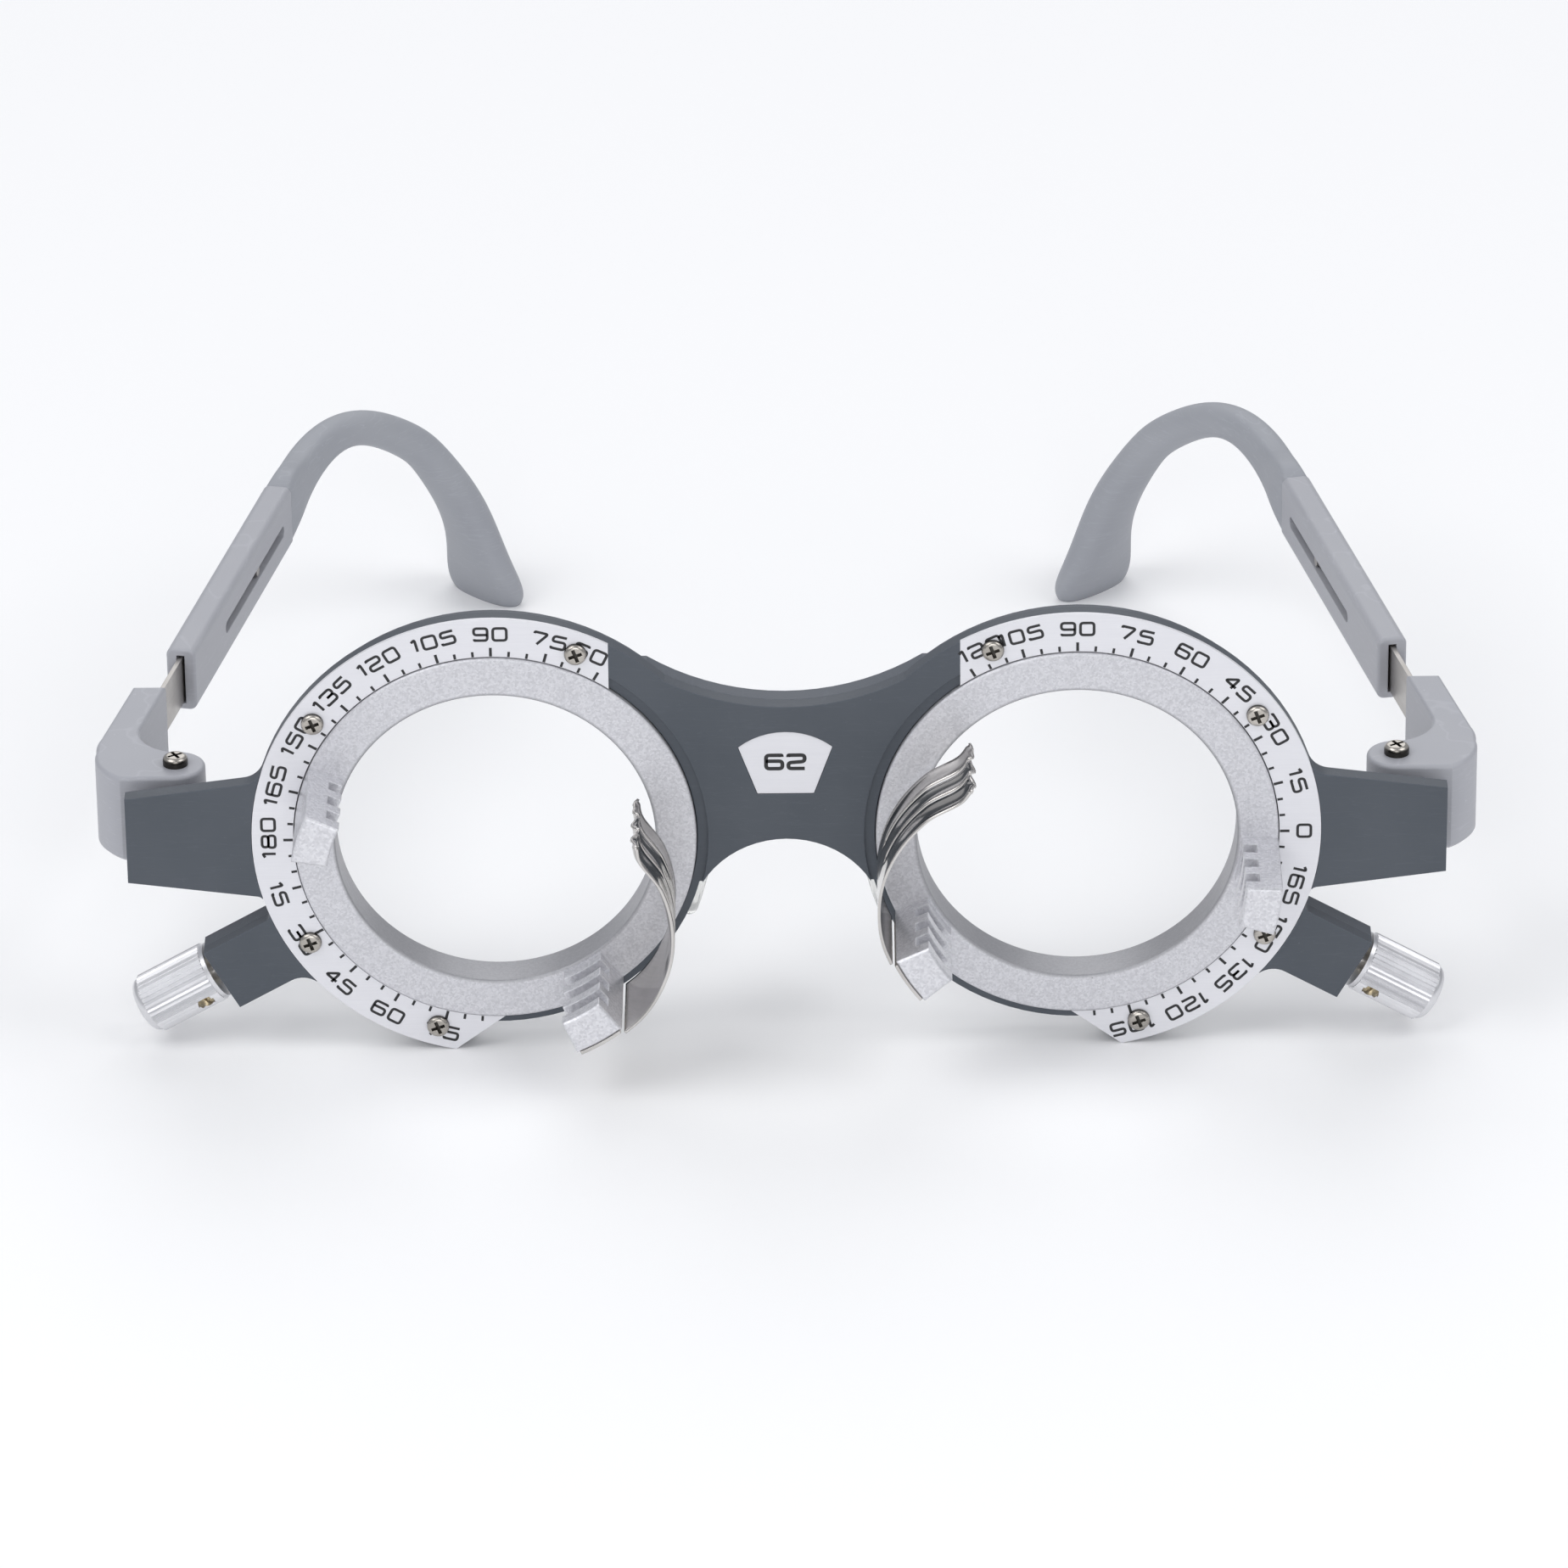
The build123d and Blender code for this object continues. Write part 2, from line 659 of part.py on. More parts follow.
for hand, side in sides.items():
    first_comb = cell_turn[hand]
    second_comb = first_comb - side * comb_spread
    with BuildPart() as lens_cell:
        with BuildSketch(face_plane(side, flange_back)):
            Circle(flange_radius)
            Circle(aperture_radius, mode=Mode.SUBTRACT)
        extrude(amount=flange_back - flange_front)
        chamfer(lens_cell.edges().filter_by(GeomType.CIRCLE).group_by(Axis.Y)[0], flange_chamfer)
        with BuildSketch(face_plane(side, cover_back + loose_gap)):
            Circle(hub_radius)
            Circle(aperture_radius, mode=Mode.SUBTRACT)
        extrude(amount=cover_back + loose_gap - flange_back)
        tooth_tip = mesh_depth + tooth_addendum
        with BuildSketch(face_plane(side, tooth_tip, arm_turn(side))):  # a tooth over the shaft
            with PolarLocations((crown_tooth_inner + flange_radius) / 2, crown_teeth):
                Rectangle(crown_tooth_length - 2 * crown_tooth_inset, tooth_width)
        extrude(amount=tooth_tip - flange_back)
    lens_cell.part.label = f"lens_cell_{hand}"
    export_step(lens_cell.part, f"parts/lens_cell_{hand}.step")

    with BuildPart() as retaining_ring:
        with BuildSketch(face_plane(side, cover_back + loose_gap + retaining_ring_thickness)):
            Circle(retaining_ring_radius)
            Circle(aperture_radius + 0.5, mode=Mode.SUBTRACT)
        extrude(amount=retaining_ring_thickness)
        chamfer(retaining_ring.edges().group_by(Axis.Y)[-1], flange_chamfer)
    retaining_ring.part.label = f"retaining_ring_{hand}"
    export_step(retaining_ring.part, f"parts/retaining_ring_{hand}.step")

    for place, angle in {"first": first_comb, "second": second_comb}.items():
        with BuildPart() as lens_comb:
            with BuildSketch(face_plane(side, flange_front)):
                add(arc_sector(comb_tip_radius, flange_radius, angle - comb_span / 2, comb_span))
            extrude(amount=flange_front - comb_front)
            for depth in lens_groove_depths:
                half = lens_groove_width / 2
                with BuildSketch(face_plane(side, depth + half)):
                    Circle(lens_groove_radius)
                extrude(amount=lens_groove_width, mode=Mode.SUBTRACT)
            chamfer(lens_comb.edges().group_by(Axis.Y)[0], comb_chamfer)
            if place == "second":
                for depth in rivet_depths:
                    with BuildSketch(rivet_plane(side, depth, angle)):
                        Circle(rivet_radius)
                    extrude(amount=-rivet_length, mode=Mode.SUBTRACT)
        lens_comb.part.label = f"lens_comb_{place}_{hand}"
        export_step(lens_comb.part, f"parts/lens_comb_{place}_{hand}.step")

    foot_start = second_comb + side * foot_sweep / 2
    foot_outer = flange_radius + leaf_thickness
    with BuildPart() as clip_foot:
        with BuildSketch(face_plane(side, leaf_back)):
            add(arc_sector(flange_radius, foot_outer, foot_start, -side * foot_sweep))
        extrude(amount=leaf_back - comb_front)
        for depth in rivet_depths:
            with BuildSketch(rivet_plane(side, depth, second_comb)):
                Circle(rivet_radius)
            extrude(amount=2 * leaf_thickness, both=True, mode=Mode.SUBTRACT)
    clip_foot.part.label = f"clip_foot_{hand}"
    export_step(clip_foot.part, f"parts/clip_foot_{hand}.step")

    with BuildPart() as clip_rivets:
        for depth in rivet_depths:
            with BuildSketch(rivet_plane(side, depth, second_comb)):
                Circle(rivet_radius)
            extrude(amount=-rivet_length)
            with BuildSketch(rivet_plane(side, depth, second_comb)):
                Circle(rivet_head_ratio * rivet_radius)
            extrude(amount=leaf_thickness + rivet_head_height)
            with BuildSketch(face_plane(side, leaf_back + 1)):
                Circle(foot_outer)
                Circle(flange_radius, mode=Mode.SUBTRACT)
            extrude(amount=2 * ring_radius, mode=Mode.SUBTRACT)
            with BuildSketch(rivet_plane(side, depth, second_comb)):
                Circle(rivet_radius)
            extrude(amount=leaf_thickness + rivet_head_height / 2)
    clip_rivets.part.label = f"clip_rivets_{hand}"
    export_step(clip_rivets.part, f"parts/clip_rivets_{hand}.step")

    with BuildPart() as spring_leaf:
        leaf_turn = second_comb - side * (foot_sweep / 2 + leaf_gap)
        near = list(leaf_points(leaf_turn, -side))
        far = list(leaf_points(leaf_turn, -side, -leaf_thickness))
        with BuildSketch(face_plane(side, leaf_back)):
            with BuildLine():
                Spline(*near)
                Spline(*far)
                Line(near[0], far[0])
                Line(near[-1], far[-1])
            make_face()
        extrude(amount=leaf_back - comb_front)
        finger_pitch = (leaf_back - comb_front) / leaf_fingers
        slit_start = leaf_turn - side * leaf_route[slit_station][0]
        for slit in range(1, leaf_fingers):
            depth = comb_front + slit * finger_pitch + leaf_slit / 2
            with BuildSketch(face_plane(side, depth)):
                add(arc_sector(aperture_radius / 2, ring_radius, slit_start, -side * slit_span))
            extrude(amount=leaf_slit, mode=Mode.SUBTRACT)
    spring_leaf.part.label = f"spring_leaf_{hand}"
    export_step(spring_leaf.part, f"parts/spring_leaf_{hand}.step")

# ---- adjusting knobs: bush, shaft with pinion, knurled knob and set screw ----
for hand, side in sides.items():
    with BuildPart() as shaft_bush:
        with BuildSketch(arm_plane(side, arm_reach)):
            Circle(bush_radius)
            Circle(shaft_radius + running_gap, mode=Mode.SUBTRACT)
        extrude(amount=-bush_length)
    shaft_bush.part.label = f"shaft_bush_{hand}"
    export_step(shaft_bush.part, f"parts/shaft_bush_{hand}.step")

    with BuildPart() as pinion_shaft:
        with BuildSketch(arm_plane(side, pinion_inner)):
            Circle(pinion_radius - tooth_dedendum)
            with PolarLocations(pinion_radius / 2, pinion_teeth):
                Trapezoid(tooth_width, pinion_radius + 2 * tooth_addendum, tooth_taper, rotation=-90)
            with BuildSketch(mode=Mode.INTERSECT):
                Circle(pinion_radius + tooth_addendum)
        extrude(amount=pinion_length)
        with BuildSketch(arm_plane(side, pinion_inner)):
            Circle(shaft_radius)
        extrude(amount=shaft_end - pinion_inner)
        with BuildSketch(set_screw_plane(side, set_screw_flat)):
            Circle(set_screw_radius)
        extrude(amount=shaft_radius, mode=Mode.SUBTRACT)
    pinion_shaft.part.label = f"pinion_shaft_{hand}"
    export_step(pinion_shaft.part, f"parts/pinion_shaft_{hand}.step")

    with BuildPart() as knob:
        with BuildSketch(arm_plane(side, knob_start)):
            Circle(knob_radius - knob_groove_depth)
        extrude(amount=knob_length)
        rims = knob.edges().filter_by(GeomType.CIRCLE).sort_by_distance(arm_plane(side, 0).origin)
        fillet(rims[-1], knob_rounding)
        with BuildSketch(arm_plane(side, knob_start + knob_collar)):
            with BuildLine():
                Polyline(*knurled_points(), close=True)
            make_face()
        extrude(amount=knob_length - knob_collar - knob_rounding)
        with BuildSketch(arm_plane(side, knob_start)):
            Circle(shaft_radius)
        extrude(amount=shaft_end - knob_start, mode=Mode.SUBTRACT)
        with BuildSketch(set_screw_plane(side, 0)):
            Circle(set_screw_radius)
        extrude(amount=2 * knob_radius, mode=Mode.SUBTRACT)
    knob.part.label = f"knob_{hand}"
    export_step(knob.part, f"parts/knob_{hand}.step")

    with BuildPart() as set_screw:
        with BuildSketch(set_screw_plane(side, set_screw_flat)):
            Circle(set_screw_radius)
        extrude(amount=set_screw_length)
        with BuildSketch(set_screw_plane(side, set_screw_flat + set_screw_length)):
            Rectangle(driver_slot_width, 2 * set_screw_radius)
        extrude(amount=-driver_slot_depth, mode=Mode.SUBTRACT)
    set_screw.part.label = f"set_screw_{hand}"
    export_step(set_screw.part, f"parts/set_screw_{hand}.step")

# ---- temple hinges: block, screw and the blade held in the block ----
half_block = block_height / 2
for hand, side in sides.items():
    with BuildPart() as hinge_block:
        with BuildSketch(level_plane(-half_block)):
            add(block_outline(side))
        extrude(amount=block_height)
        fillet(hinge_block.faces().sort_by(Axis.Z)[-1].edges(), block_rounding)
        chamfer(hinge_block.faces().sort_by(Axis.Z)[0].edges(), block_chamfer)
        with BuildSketch(level_plane(-knuckle_height / 2 - loose_gap)):
            reach = knuckle_radius + 2 * loose_gap
            with Locations((side * (hinge_x - reach), hinge_depth)):
                Rectangle(4 * reach, 2 * (cap_back + loose_gap - hinge_depth))
        extrude(amount=knuckle_height + 2 * loose_gap, mode=Mode.SUBTRACT)
        with BuildSketch(level_plane(-half_block)):
            with Locations((side * hinge_x, hinge_depth)):
                Circle(hinge_screw_radius)
        extrude(amount=block_height, mode=Mode.SUBTRACT)
        with BuildSketch(temple_plane(side, -blade_root)):
            Rectangle(blade_thickness, blade_height)
        extrude(amount=2 * blade_root, mode=Mode.SUBTRACT)
    hinge_block.part.label = f"hinge_block_{hand}"
    export_step(hinge_block.part, f"parts/hinge_block_{hand}.step")

    with BuildPart() as hinge_screw:
        with BuildSketch(level_plane(half_block)):
            with Locations((side * hinge_x, hinge_depth)):
                Circle(hinge_head_radius)
        extrude(amount=hinge_head_height)
        fillet(hinge_screw.edges().group_by(Axis.Z)[-1], hinge_head_rounding)
        with BuildSketch(level_plane(-half_block + hinge_screw_recess)):
            with Locations((side * hinge_x, hinge_depth)):
                Circle(hinge_screw_radius)
        extrude(amount=block_height - hinge_screw_recess)
        with BuildSketch(level_plane(half_block + hinge_head_height)):
            with Locations(Location((side * hinge_x, hinge_depth), 30)):
                Rectangle(hinge_cross, hinge_cross_width)
                Rectangle(hinge_cross_width, hinge_cross)
        extrude(amount=-hinge_head_rounding, mode=Mode.SUBTRACT)
    hinge_screw.part.label = f"hinge_screw_{hand}"
    export_step(hinge_screw.part, f"parts/hinge_screw_{hand}.step")

    with BuildPart() as temple_blade:
        with BuildSketch(temple_plane(side, -blade_root)):
            Rectangle(blade_thickness, blade_height)
        extrude(amount=blade_root + blade_length)
        along = temple_plane(side, peg_run)
        with BuildSketch(Plane(along.origin, x_dir=along.z_dir, z_dir=side * along.x_dir)):
            Circle(peg_radius)
        extrude(amount=sleeve_width / 2 - sleeve_slot_gap)
    temple_blade.part.label = f"temple_blade_{hand}"
    export_step(temple_blade.part, f"parts/temple_blade_{hand}.step")

    with BuildPart() as temple_sleeve:
        with BuildSketch(temple_plane(side, sleeve_start)):
            RectangleRounded(sleeve_width, sleeve_height, sleeve_rounding)
        extrude(amount=sleeve_length)
        fillet(temple_sleeve.faces().sort_by(Axis.Y)[0].edges(), sleeve_end_rounding)
        with BuildSketch(temple_plane(side, sleeve_start)):
            Rectangle(blade_thickness + 2 * sleeve_slot_gap, blade_height + 2 * sleeve_slot_gap)
        extrude(amount=sleeve_cavity, mode=Mode.SUBTRACT)
        slot_middle = temple_plane(side, (adjusting_slot_start + adjusting_slot_end) / 2)
        inwards = side * slot_middle.x_dir
        with BuildSketch(Plane(slot_middle.origin, x_dir=slot_middle.z_dir, z_dir=inwards)):
            SlotOverall(adjusting_slot_end - adjusting_slot_start, adjusting_slot_height)
        extrude(amount=sleeve_width, mode=Mode.SUBTRACT)
    temple_sleeve.part.label = f"temple_sleeve_{hand}"
    export_step(temple_sleeve.part, f"parts/temple_sleeve_{hand}.step")

# ---- ear hooks: a neck off the sleeve that arches over and down to a flat tip on the table ----
for hand, side in sides.items():
    places = list(hook_places(side))
    with BuildPart() as ear_hook:
        for index, (place, station) in enumerate(zip(places, hook_stations)):
            if index == 0:
                section = temple_plane(side, sleeve_end)
            else:
                ahead = places[min(index + 1, len(places) - 1)]
                along = (ahead - places[index - 1]).normalized()
                section = Plane(place, x_dir=Vector(-along.Y, along.X, 0), z_dir=along)
            with BuildSketch(section):
                add(rounded_section(*station[3:]))
        loft()
        split(bisect_by=Plane.XY, keep=Keep.TOP)
    ear_hook.part.label = f"ear_hook_{hand}"
    export_step(ear_hook.part, f"parts/ear_hook_{hand}.step")

# ---- nose pads on wire arms, each held by a ball in a socket ----
for hand, side in sides.items():
    left_face = nose_pad_plane(-1).offset(pad_thickness / 2)
    ball_middle = left_face.offset(ball_lift).origin
    elbow = left_face.offset(ball_lift + elbow_lift).origin
    root = Vector(-pad_wire_x, front_y + cover_back, axis_z + pad_wire_z)
    with BuildPart() as pad_wire:
        with BuildLine() as route:
            FilletPolyline(
                root,
                Vector(root.X, root.Y + pad_wire_run, root.Z),
                Vector(elbow.X, elbow.Y, root.Z),
                elbow,
                ball_middle,
                radius=2 * pad_wire_radius,
            )
        with BuildSketch(Plane(route.line @ 0, z_dir=route.line % 0)):
            Circle(pad_wire_radius)
        sweep(transition=Transition.ROUND)
        with Locations(ball_middle):
            Sphere(ball_radius)
        if side > 0:
            mirror(about=Plane.YZ, mode=Mode.REPLACE)
    pad_wire.part.label = f"pad_wire_{hand}"
    export_step(pad_wire.part, f"parts/pad_wire_{hand}.step")

    with BuildPart() as nose_pad:
        with BuildSketch(nose_pad_plane(-1).offset(-pad_thickness / 2)):
            Ellipse(pad_width / 2, pad_height / 2)
        extrude(amount=pad_thickness)
        fillet(nose_pad.edges(), pad_rounding)
        with BuildSketch(nose_pad_plane(-1)):
            Circle(ball_radius + socket_wall)
        extrude(amount=pad_thickness / 2 + ball_lift + socket_grip)
        with Locations(ball_middle):
            Sphere(ball_radius + loose_gap, mode=Mode.SUBTRACT)
        if side > 0:
            mirror(about=Plane.YZ, mode=Mode.REPLACE)
    nose_pad.part.label = f"nose_pad_{hand}"
    export_step(nose_pad.part, f"parts/nose_pad_{hand}.step")
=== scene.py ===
import bmesh
import bpy
import math
import numpy as np
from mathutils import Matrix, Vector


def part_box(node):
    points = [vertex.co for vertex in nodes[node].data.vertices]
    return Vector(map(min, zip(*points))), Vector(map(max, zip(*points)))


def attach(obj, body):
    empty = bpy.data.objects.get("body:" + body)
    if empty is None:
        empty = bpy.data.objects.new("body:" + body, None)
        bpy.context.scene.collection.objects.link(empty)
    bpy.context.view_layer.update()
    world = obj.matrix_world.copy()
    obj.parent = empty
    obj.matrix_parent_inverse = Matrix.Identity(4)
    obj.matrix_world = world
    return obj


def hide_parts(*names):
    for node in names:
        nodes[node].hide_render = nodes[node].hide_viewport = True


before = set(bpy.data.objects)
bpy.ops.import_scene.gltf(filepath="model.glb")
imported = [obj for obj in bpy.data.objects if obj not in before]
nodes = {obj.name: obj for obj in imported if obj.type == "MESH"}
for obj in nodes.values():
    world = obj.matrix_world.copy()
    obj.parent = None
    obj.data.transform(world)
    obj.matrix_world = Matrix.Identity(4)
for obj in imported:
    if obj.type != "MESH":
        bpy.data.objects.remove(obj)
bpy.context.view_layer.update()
mm = 0.001
print("frame loaded,", len(nodes), "nodes")

cellBox = {"left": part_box("lens_cell_left"), "right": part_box("lens_cell_right")}
axisPoint = {hand: (lo + hi) / 2 for hand, (lo, hi) in cellBox.items()}  # middle of each rotating cell
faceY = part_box("scale_plate_left")[0].y  # front face of the scale plates
sides = {"left": -1, "right": 1}


# camera, floor and light
cameraSetup = {
    "place": (0.0058898, -0.984122, 0.5088764),
    "turn": (62.88667, 0.62228, 0.05405),  # degrees about X, Y and Z
    "lens": 226.124,
    "sensor": 36.0,
    "nearClip": 0.05,
}
cameraData = bpy.data.cameras.new("camera")
cameraData.lens = cameraSetup["lens"]
cameraData.sensor_width = cameraSetup["sensor"]
cameraData.clip_start = cameraSetup["nearClip"]
camera = bpy.data.objects.new("camera", cameraData)
camera.location = cameraSetup["place"]
camera.rotation_euler = [math.radians(a) for a in cameraSetup["turn"]]
bpy.context.scene.collection.objects.link(camera)
bpy.context.scene.camera = camera

studio = {
    "floorSize": 12.0,
    "floorColour": (0.975, 0.975, 0.98, 1),
    "floorRoughness": 0.6,
    "worldColour": (0.93, 0.95, 1.0, 1),
    "worldStrength": 0.47,
    "lamps": [  # place, size, watts
        ((-0.55, -0.35, 0.85), 0.7, 3.5),
        ((0.65, -0.20, 0.80), 0.6, 2.3),
        ((0.0, 0.75, 0.70), 0.8, 2.4),
        ((0.0, -0.9, 0.35), 0.5, 2.2),
    ],
    "aim": (0.0, 0.0, 0.02),
}


def newMesh(name, points, faces, smooth=False):
    # Puts an array of points and a list of faces into a mesh object at the origin.
    mesh = bpy.data.meshes.new(name)
    mesh.from_pydata(np.asarray(points).tolist(), [], [list(map(int, f)) for f in faces])
    mesh.update()
    mesh.polygons.foreach_set("use_smooth", np.full(len(mesh.polygons), smooth))
    piece = bpy.data.objects.new(name, mesh)
    bpy.context.scene.collection.objects.link(piece)
    return piece


half = studio["floorSize"] / 2
floorCorners = [(-half, -half, 0), (half, -half, 0), (half, half, 0), (-half, half, 0)]
floor = newMesh("floor", floorCorners, [(0, 1, 2, 3)])

for index, (place, size, watts) in enumerate(studio["lamps"]):
    lampData = bpy.data.lights.new(f"lamp_{index}", "AREA")
    lampData.size = size
    lampData.energy = watts
    lamp = bpy.data.objects.new(f"lamp_{index}", lampData)
    lamp.location = place
    away = np.array(place) - np.array(studio["aim"])
    tilt = math.acos(away[2] / np.linalg.norm(away))
    lamp.rotation_euler = (tilt, 0, math.atan2(away[1], away[0]) + math.pi / 2)
    bpy.context.scene.collection.objects.link(lamp)

world = bpy.data.worlds.new("studio")
world.use_nodes = True
world.node_tree.nodes["Background"].inputs["Color"].default_value = studio["worldColour"]
world.node_tree.nodes["Background"].inputs["Strength"].default_value = studio["worldStrength"]
bpy.context.scene.world = world
bpy.context.scene.view_settings.view_transform = "Standard"
print("studio set")


# effects shared by several finishes
effects = {
    "speckSharpness": 25.0,
    "smudgeRange": (0.3, 0.7),
    "scratchStretch": (0.25, 0.25, 3.0),
    "scratchSharpness": 60.0,
    "brushStretch": (0.12, 0.12, 5.0),  # long along X and Y, fine along Z
    "bevelSamples": 4,
}


def newGroup(name, inputs, outputs):
    # An empty node group: inputs are (name, value) and outputs are (name, socket type).
    tree = bpy.data.node_groups.new(name, "ShaderNodeTree")
    for label, value in inputs:
        socket = tree.interface.new_socket(name=label, in_out="INPUT", socket_type="NodeSocketFloat")
        socket.default_value = value
    for label, kind in outputs:
        tree.interface.new_socket(name=label, in_out="OUTPUT", socket_type=kind)
    return tree, tree.nodes.new("NodeGroupInput"), tree.nodes.new("NodeGroupOutput")


def mathNode(tree, operation, *values):
    # A math node whose inputs are numbers or sockets; gives its output socket.
    node = tree.nodes.new("ShaderNodeMath")
    node.operation = operation
    for index, value in enumerate(values):
        if isinstance(value, (int, float)):
            node.inputs[index].default_value = value
        else:
            tree.links.new(value, node.inputs[index])
    return node.outputs[0]


def noiseNode(tree, scale, detail=3.0, roughness=0.5, stretch=None):
    # Noise on object coordinates; the scale is in features per metre, stretched along the axes if asked.
    coords = tree.nodes.new("ShaderNodeTexCoord")
    source = coords.outputs["Object"]
    if stretch:
        mapping = tree.nodes.new("ShaderNodeMapping")
        mapping.inputs["Scale"].default_value = stretch
        tree.links.new(source, mapping.inputs["Vector"])
        source = mapping.outputs["Vector"]
    noise = tree.nodes.new("ShaderNodeTexNoise")
    noise.inputs["Detail"].default_value = detail
    noise.inputs["Roughness"].default_value = roughness
    tree.links.new(source, noise.inputs["Vector"])
    if isinstance(scale, (int, float)):
        noise.inputs["Scale"].default_value = scale
    else:
        tree.links.new(scale, noise.inputs["Scale"])
    return noise.outputs["Fac"]


def spreadNode(tree, value, low, high):
    # Spreads the stretch from low to high of a value over 0 to 1.
    ranged = tree.nodes.new("ShaderNodeMapRange")
    ranged.inputs["From Min"].default_value = low
    ranged.inputs["From Max"].default_value = high
    tree.links.new(value, ranged.inputs["Value"])
    return ranged.outputs["Result"]


def makeGrainGroup():
    # Fine grain: a height and a mask of scattered dark specks.
    tree, inside, outside = newGroup(
        "fineGrain",
        [("Scale", 6000.0), ("Speck Scale", 1400.0), ("Speck Level", 0.74)],
        [("Height", "NodeSocketFloat"), ("Specks", "NodeSocketFloat")],
    )
    grain = noiseNode(tree, inside.outputs["Scale"], detail=2.0, roughness=0.6)
    specks = noiseNode(tree, inside.outputs["Speck Scale"], detail=1.0, roughness=0.4)
    over = mathNode(tree, "SUBTRACT", specks, inside.outputs["Speck Level"])
    sharp = mathNode(tree, "MULTIPLY", over, effects["speckSharpness"])
    clipped = mathNode(tree, "MINIMUM", mathNode(tree, "MAXIMUM", sharp, 0.0), 1.0)
    tree.links.new(grain, outside.inputs["Height"])
    tree.links.new(clipped, outside.inputs["Specks"])
    return tree


def makeSparkleGroup():
    # Metal flake in paint: each small cell gets its own brightness, and a few stand out.
    tree, inside, outside = newGroup(
        "paintFlake",
        [("Scale", 4200.0)],
        [("Flake", "NodeSocketFloat"), ("Height", "NodeSocketFloat")],
    )
    coords = tree.nodes.new("ShaderNodeTexCoord")
    cells = tree.nodes.new("ShaderNodeTexVoronoi")
    tree.links.new(coords.outputs["Object"], cells.inputs["Vector"])
    tree.links.new(inside.outputs["Scale"], cells.inputs["Scale"])
    split = tree.nodes.new("ShaderNodeSeparateColor")
    tree.links.new(cells.outputs["Color"], split.inputs["Color"])
    tree.links.new(split.outputs["Red"], outside.inputs["Flake"])
    soft = noiseNode(tree, inside.outputs["Scale"], detail=2.0, roughness=0.65)
    tree.links.new(soft, outside.inputs["Height"])
    return tree


def makeWearGroup():
    # Slow variation of a handled surface: smudges, and thin lines where it is rubbed.
    tree, inside, outside = newGroup(
        "handling",
        [("Smudge Scale", 90.0), ("Scratch Scale", 700.0)],
        [("Smudge", "NodeSocketFloat"), ("Scratch", "NodeSocketFloat")],
    )
    smudge = noiseNode(tree, inside.outputs["Smudge Scale"], detail=4.0, roughness=0.55)
    rubbed = noiseNode(tree, inside.outputs["Scratch Scale"], 2.0, 0.5, effects["scratchStretch"])
    line = mathNode(tree, "ABSOLUTE", mathNode(tree, "SUBTRACT", rubbed, 0.5))
    narrowed = mathNode(tree, "MULTIPLY", line, effects["scratchSharpness"])
    scratch = mathNode(tree, "MAXIMUM", mathNode(tree, "SUBTRACT", 1.0, narrowed), 0.0)
    tree.links.new(spreadNode(tree, smudge, *effects["smudgeRange"]), outside.inputs["Smudge"])
    tree.links.new(scratch, outside.inputs["Scratch"])
    return tree


def makeBrushedGroup():
    # Rolled or brushed metal: long fine level lines.
    tree, inside, outside = newGroup(
        "brushedLines",
        [("Scale", 900.0)],
        [("Lines", "NodeSocketFloat")],
    )
    lines = noiseNode(tree, inside.outputs["Scale"], 3.0, 0.7, effects["brushStretch"])
    tree.links.new(lines, outside.inputs["Lines"])
    return tree


def makeEdgeGroup():
    # Rounds a hard edge in the shading and gives a mask of it, for rubbed corners.
    tree, inside, outside = newGroup(
        "roundedEdge",
        [("Radius", 0.00012), ("Gain", 6.0)],
        [("Normal", "NodeSocketVector"), ("Edge", "NodeSocketFloat")],
    )
    bevel = tree.nodes.new("ShaderNodeBevel")
    bevel.samples = effects["bevelSamples"]
    tree.links.new(inside.outputs["Radius"], bevel.inputs["Radius"])
    geometry = tree.nodes.new("ShaderNodeNewGeometry")
    dot = tree.nodes.new("ShaderNodeVectorMath")
    dot.operation = "DOT_PRODUCT"
    tree.links.new(bevel.outputs["Normal"], dot.inputs[0])
    tree.links.new(geometry.outputs["True Normal"], dot.inputs[1])
    turned = mathNode(tree, "SUBTRACT", 1.0, dot.outputs["Value"])
    edge = mathNode(tree, "MINIMUM", mathNode(tree, "MULTIPLY", turned, inside.outputs["Gain"]), 1.0)
    tree.links.new(bevel.outputs["Normal"], outside.inputs["Normal"])
    tree.links.new(mathNode(tree, "MAXIMUM", edge, 0.0), outside.inputs["Edge"])
    return tree


groups = {
    "edge": makeEdgeGroup(),
    "grain": makeGrainGroup(),
    "flake": makeSparkleGroup(),
    "handling": makeWearGroup(),
    "brushed": makeBrushedGroup(),
}


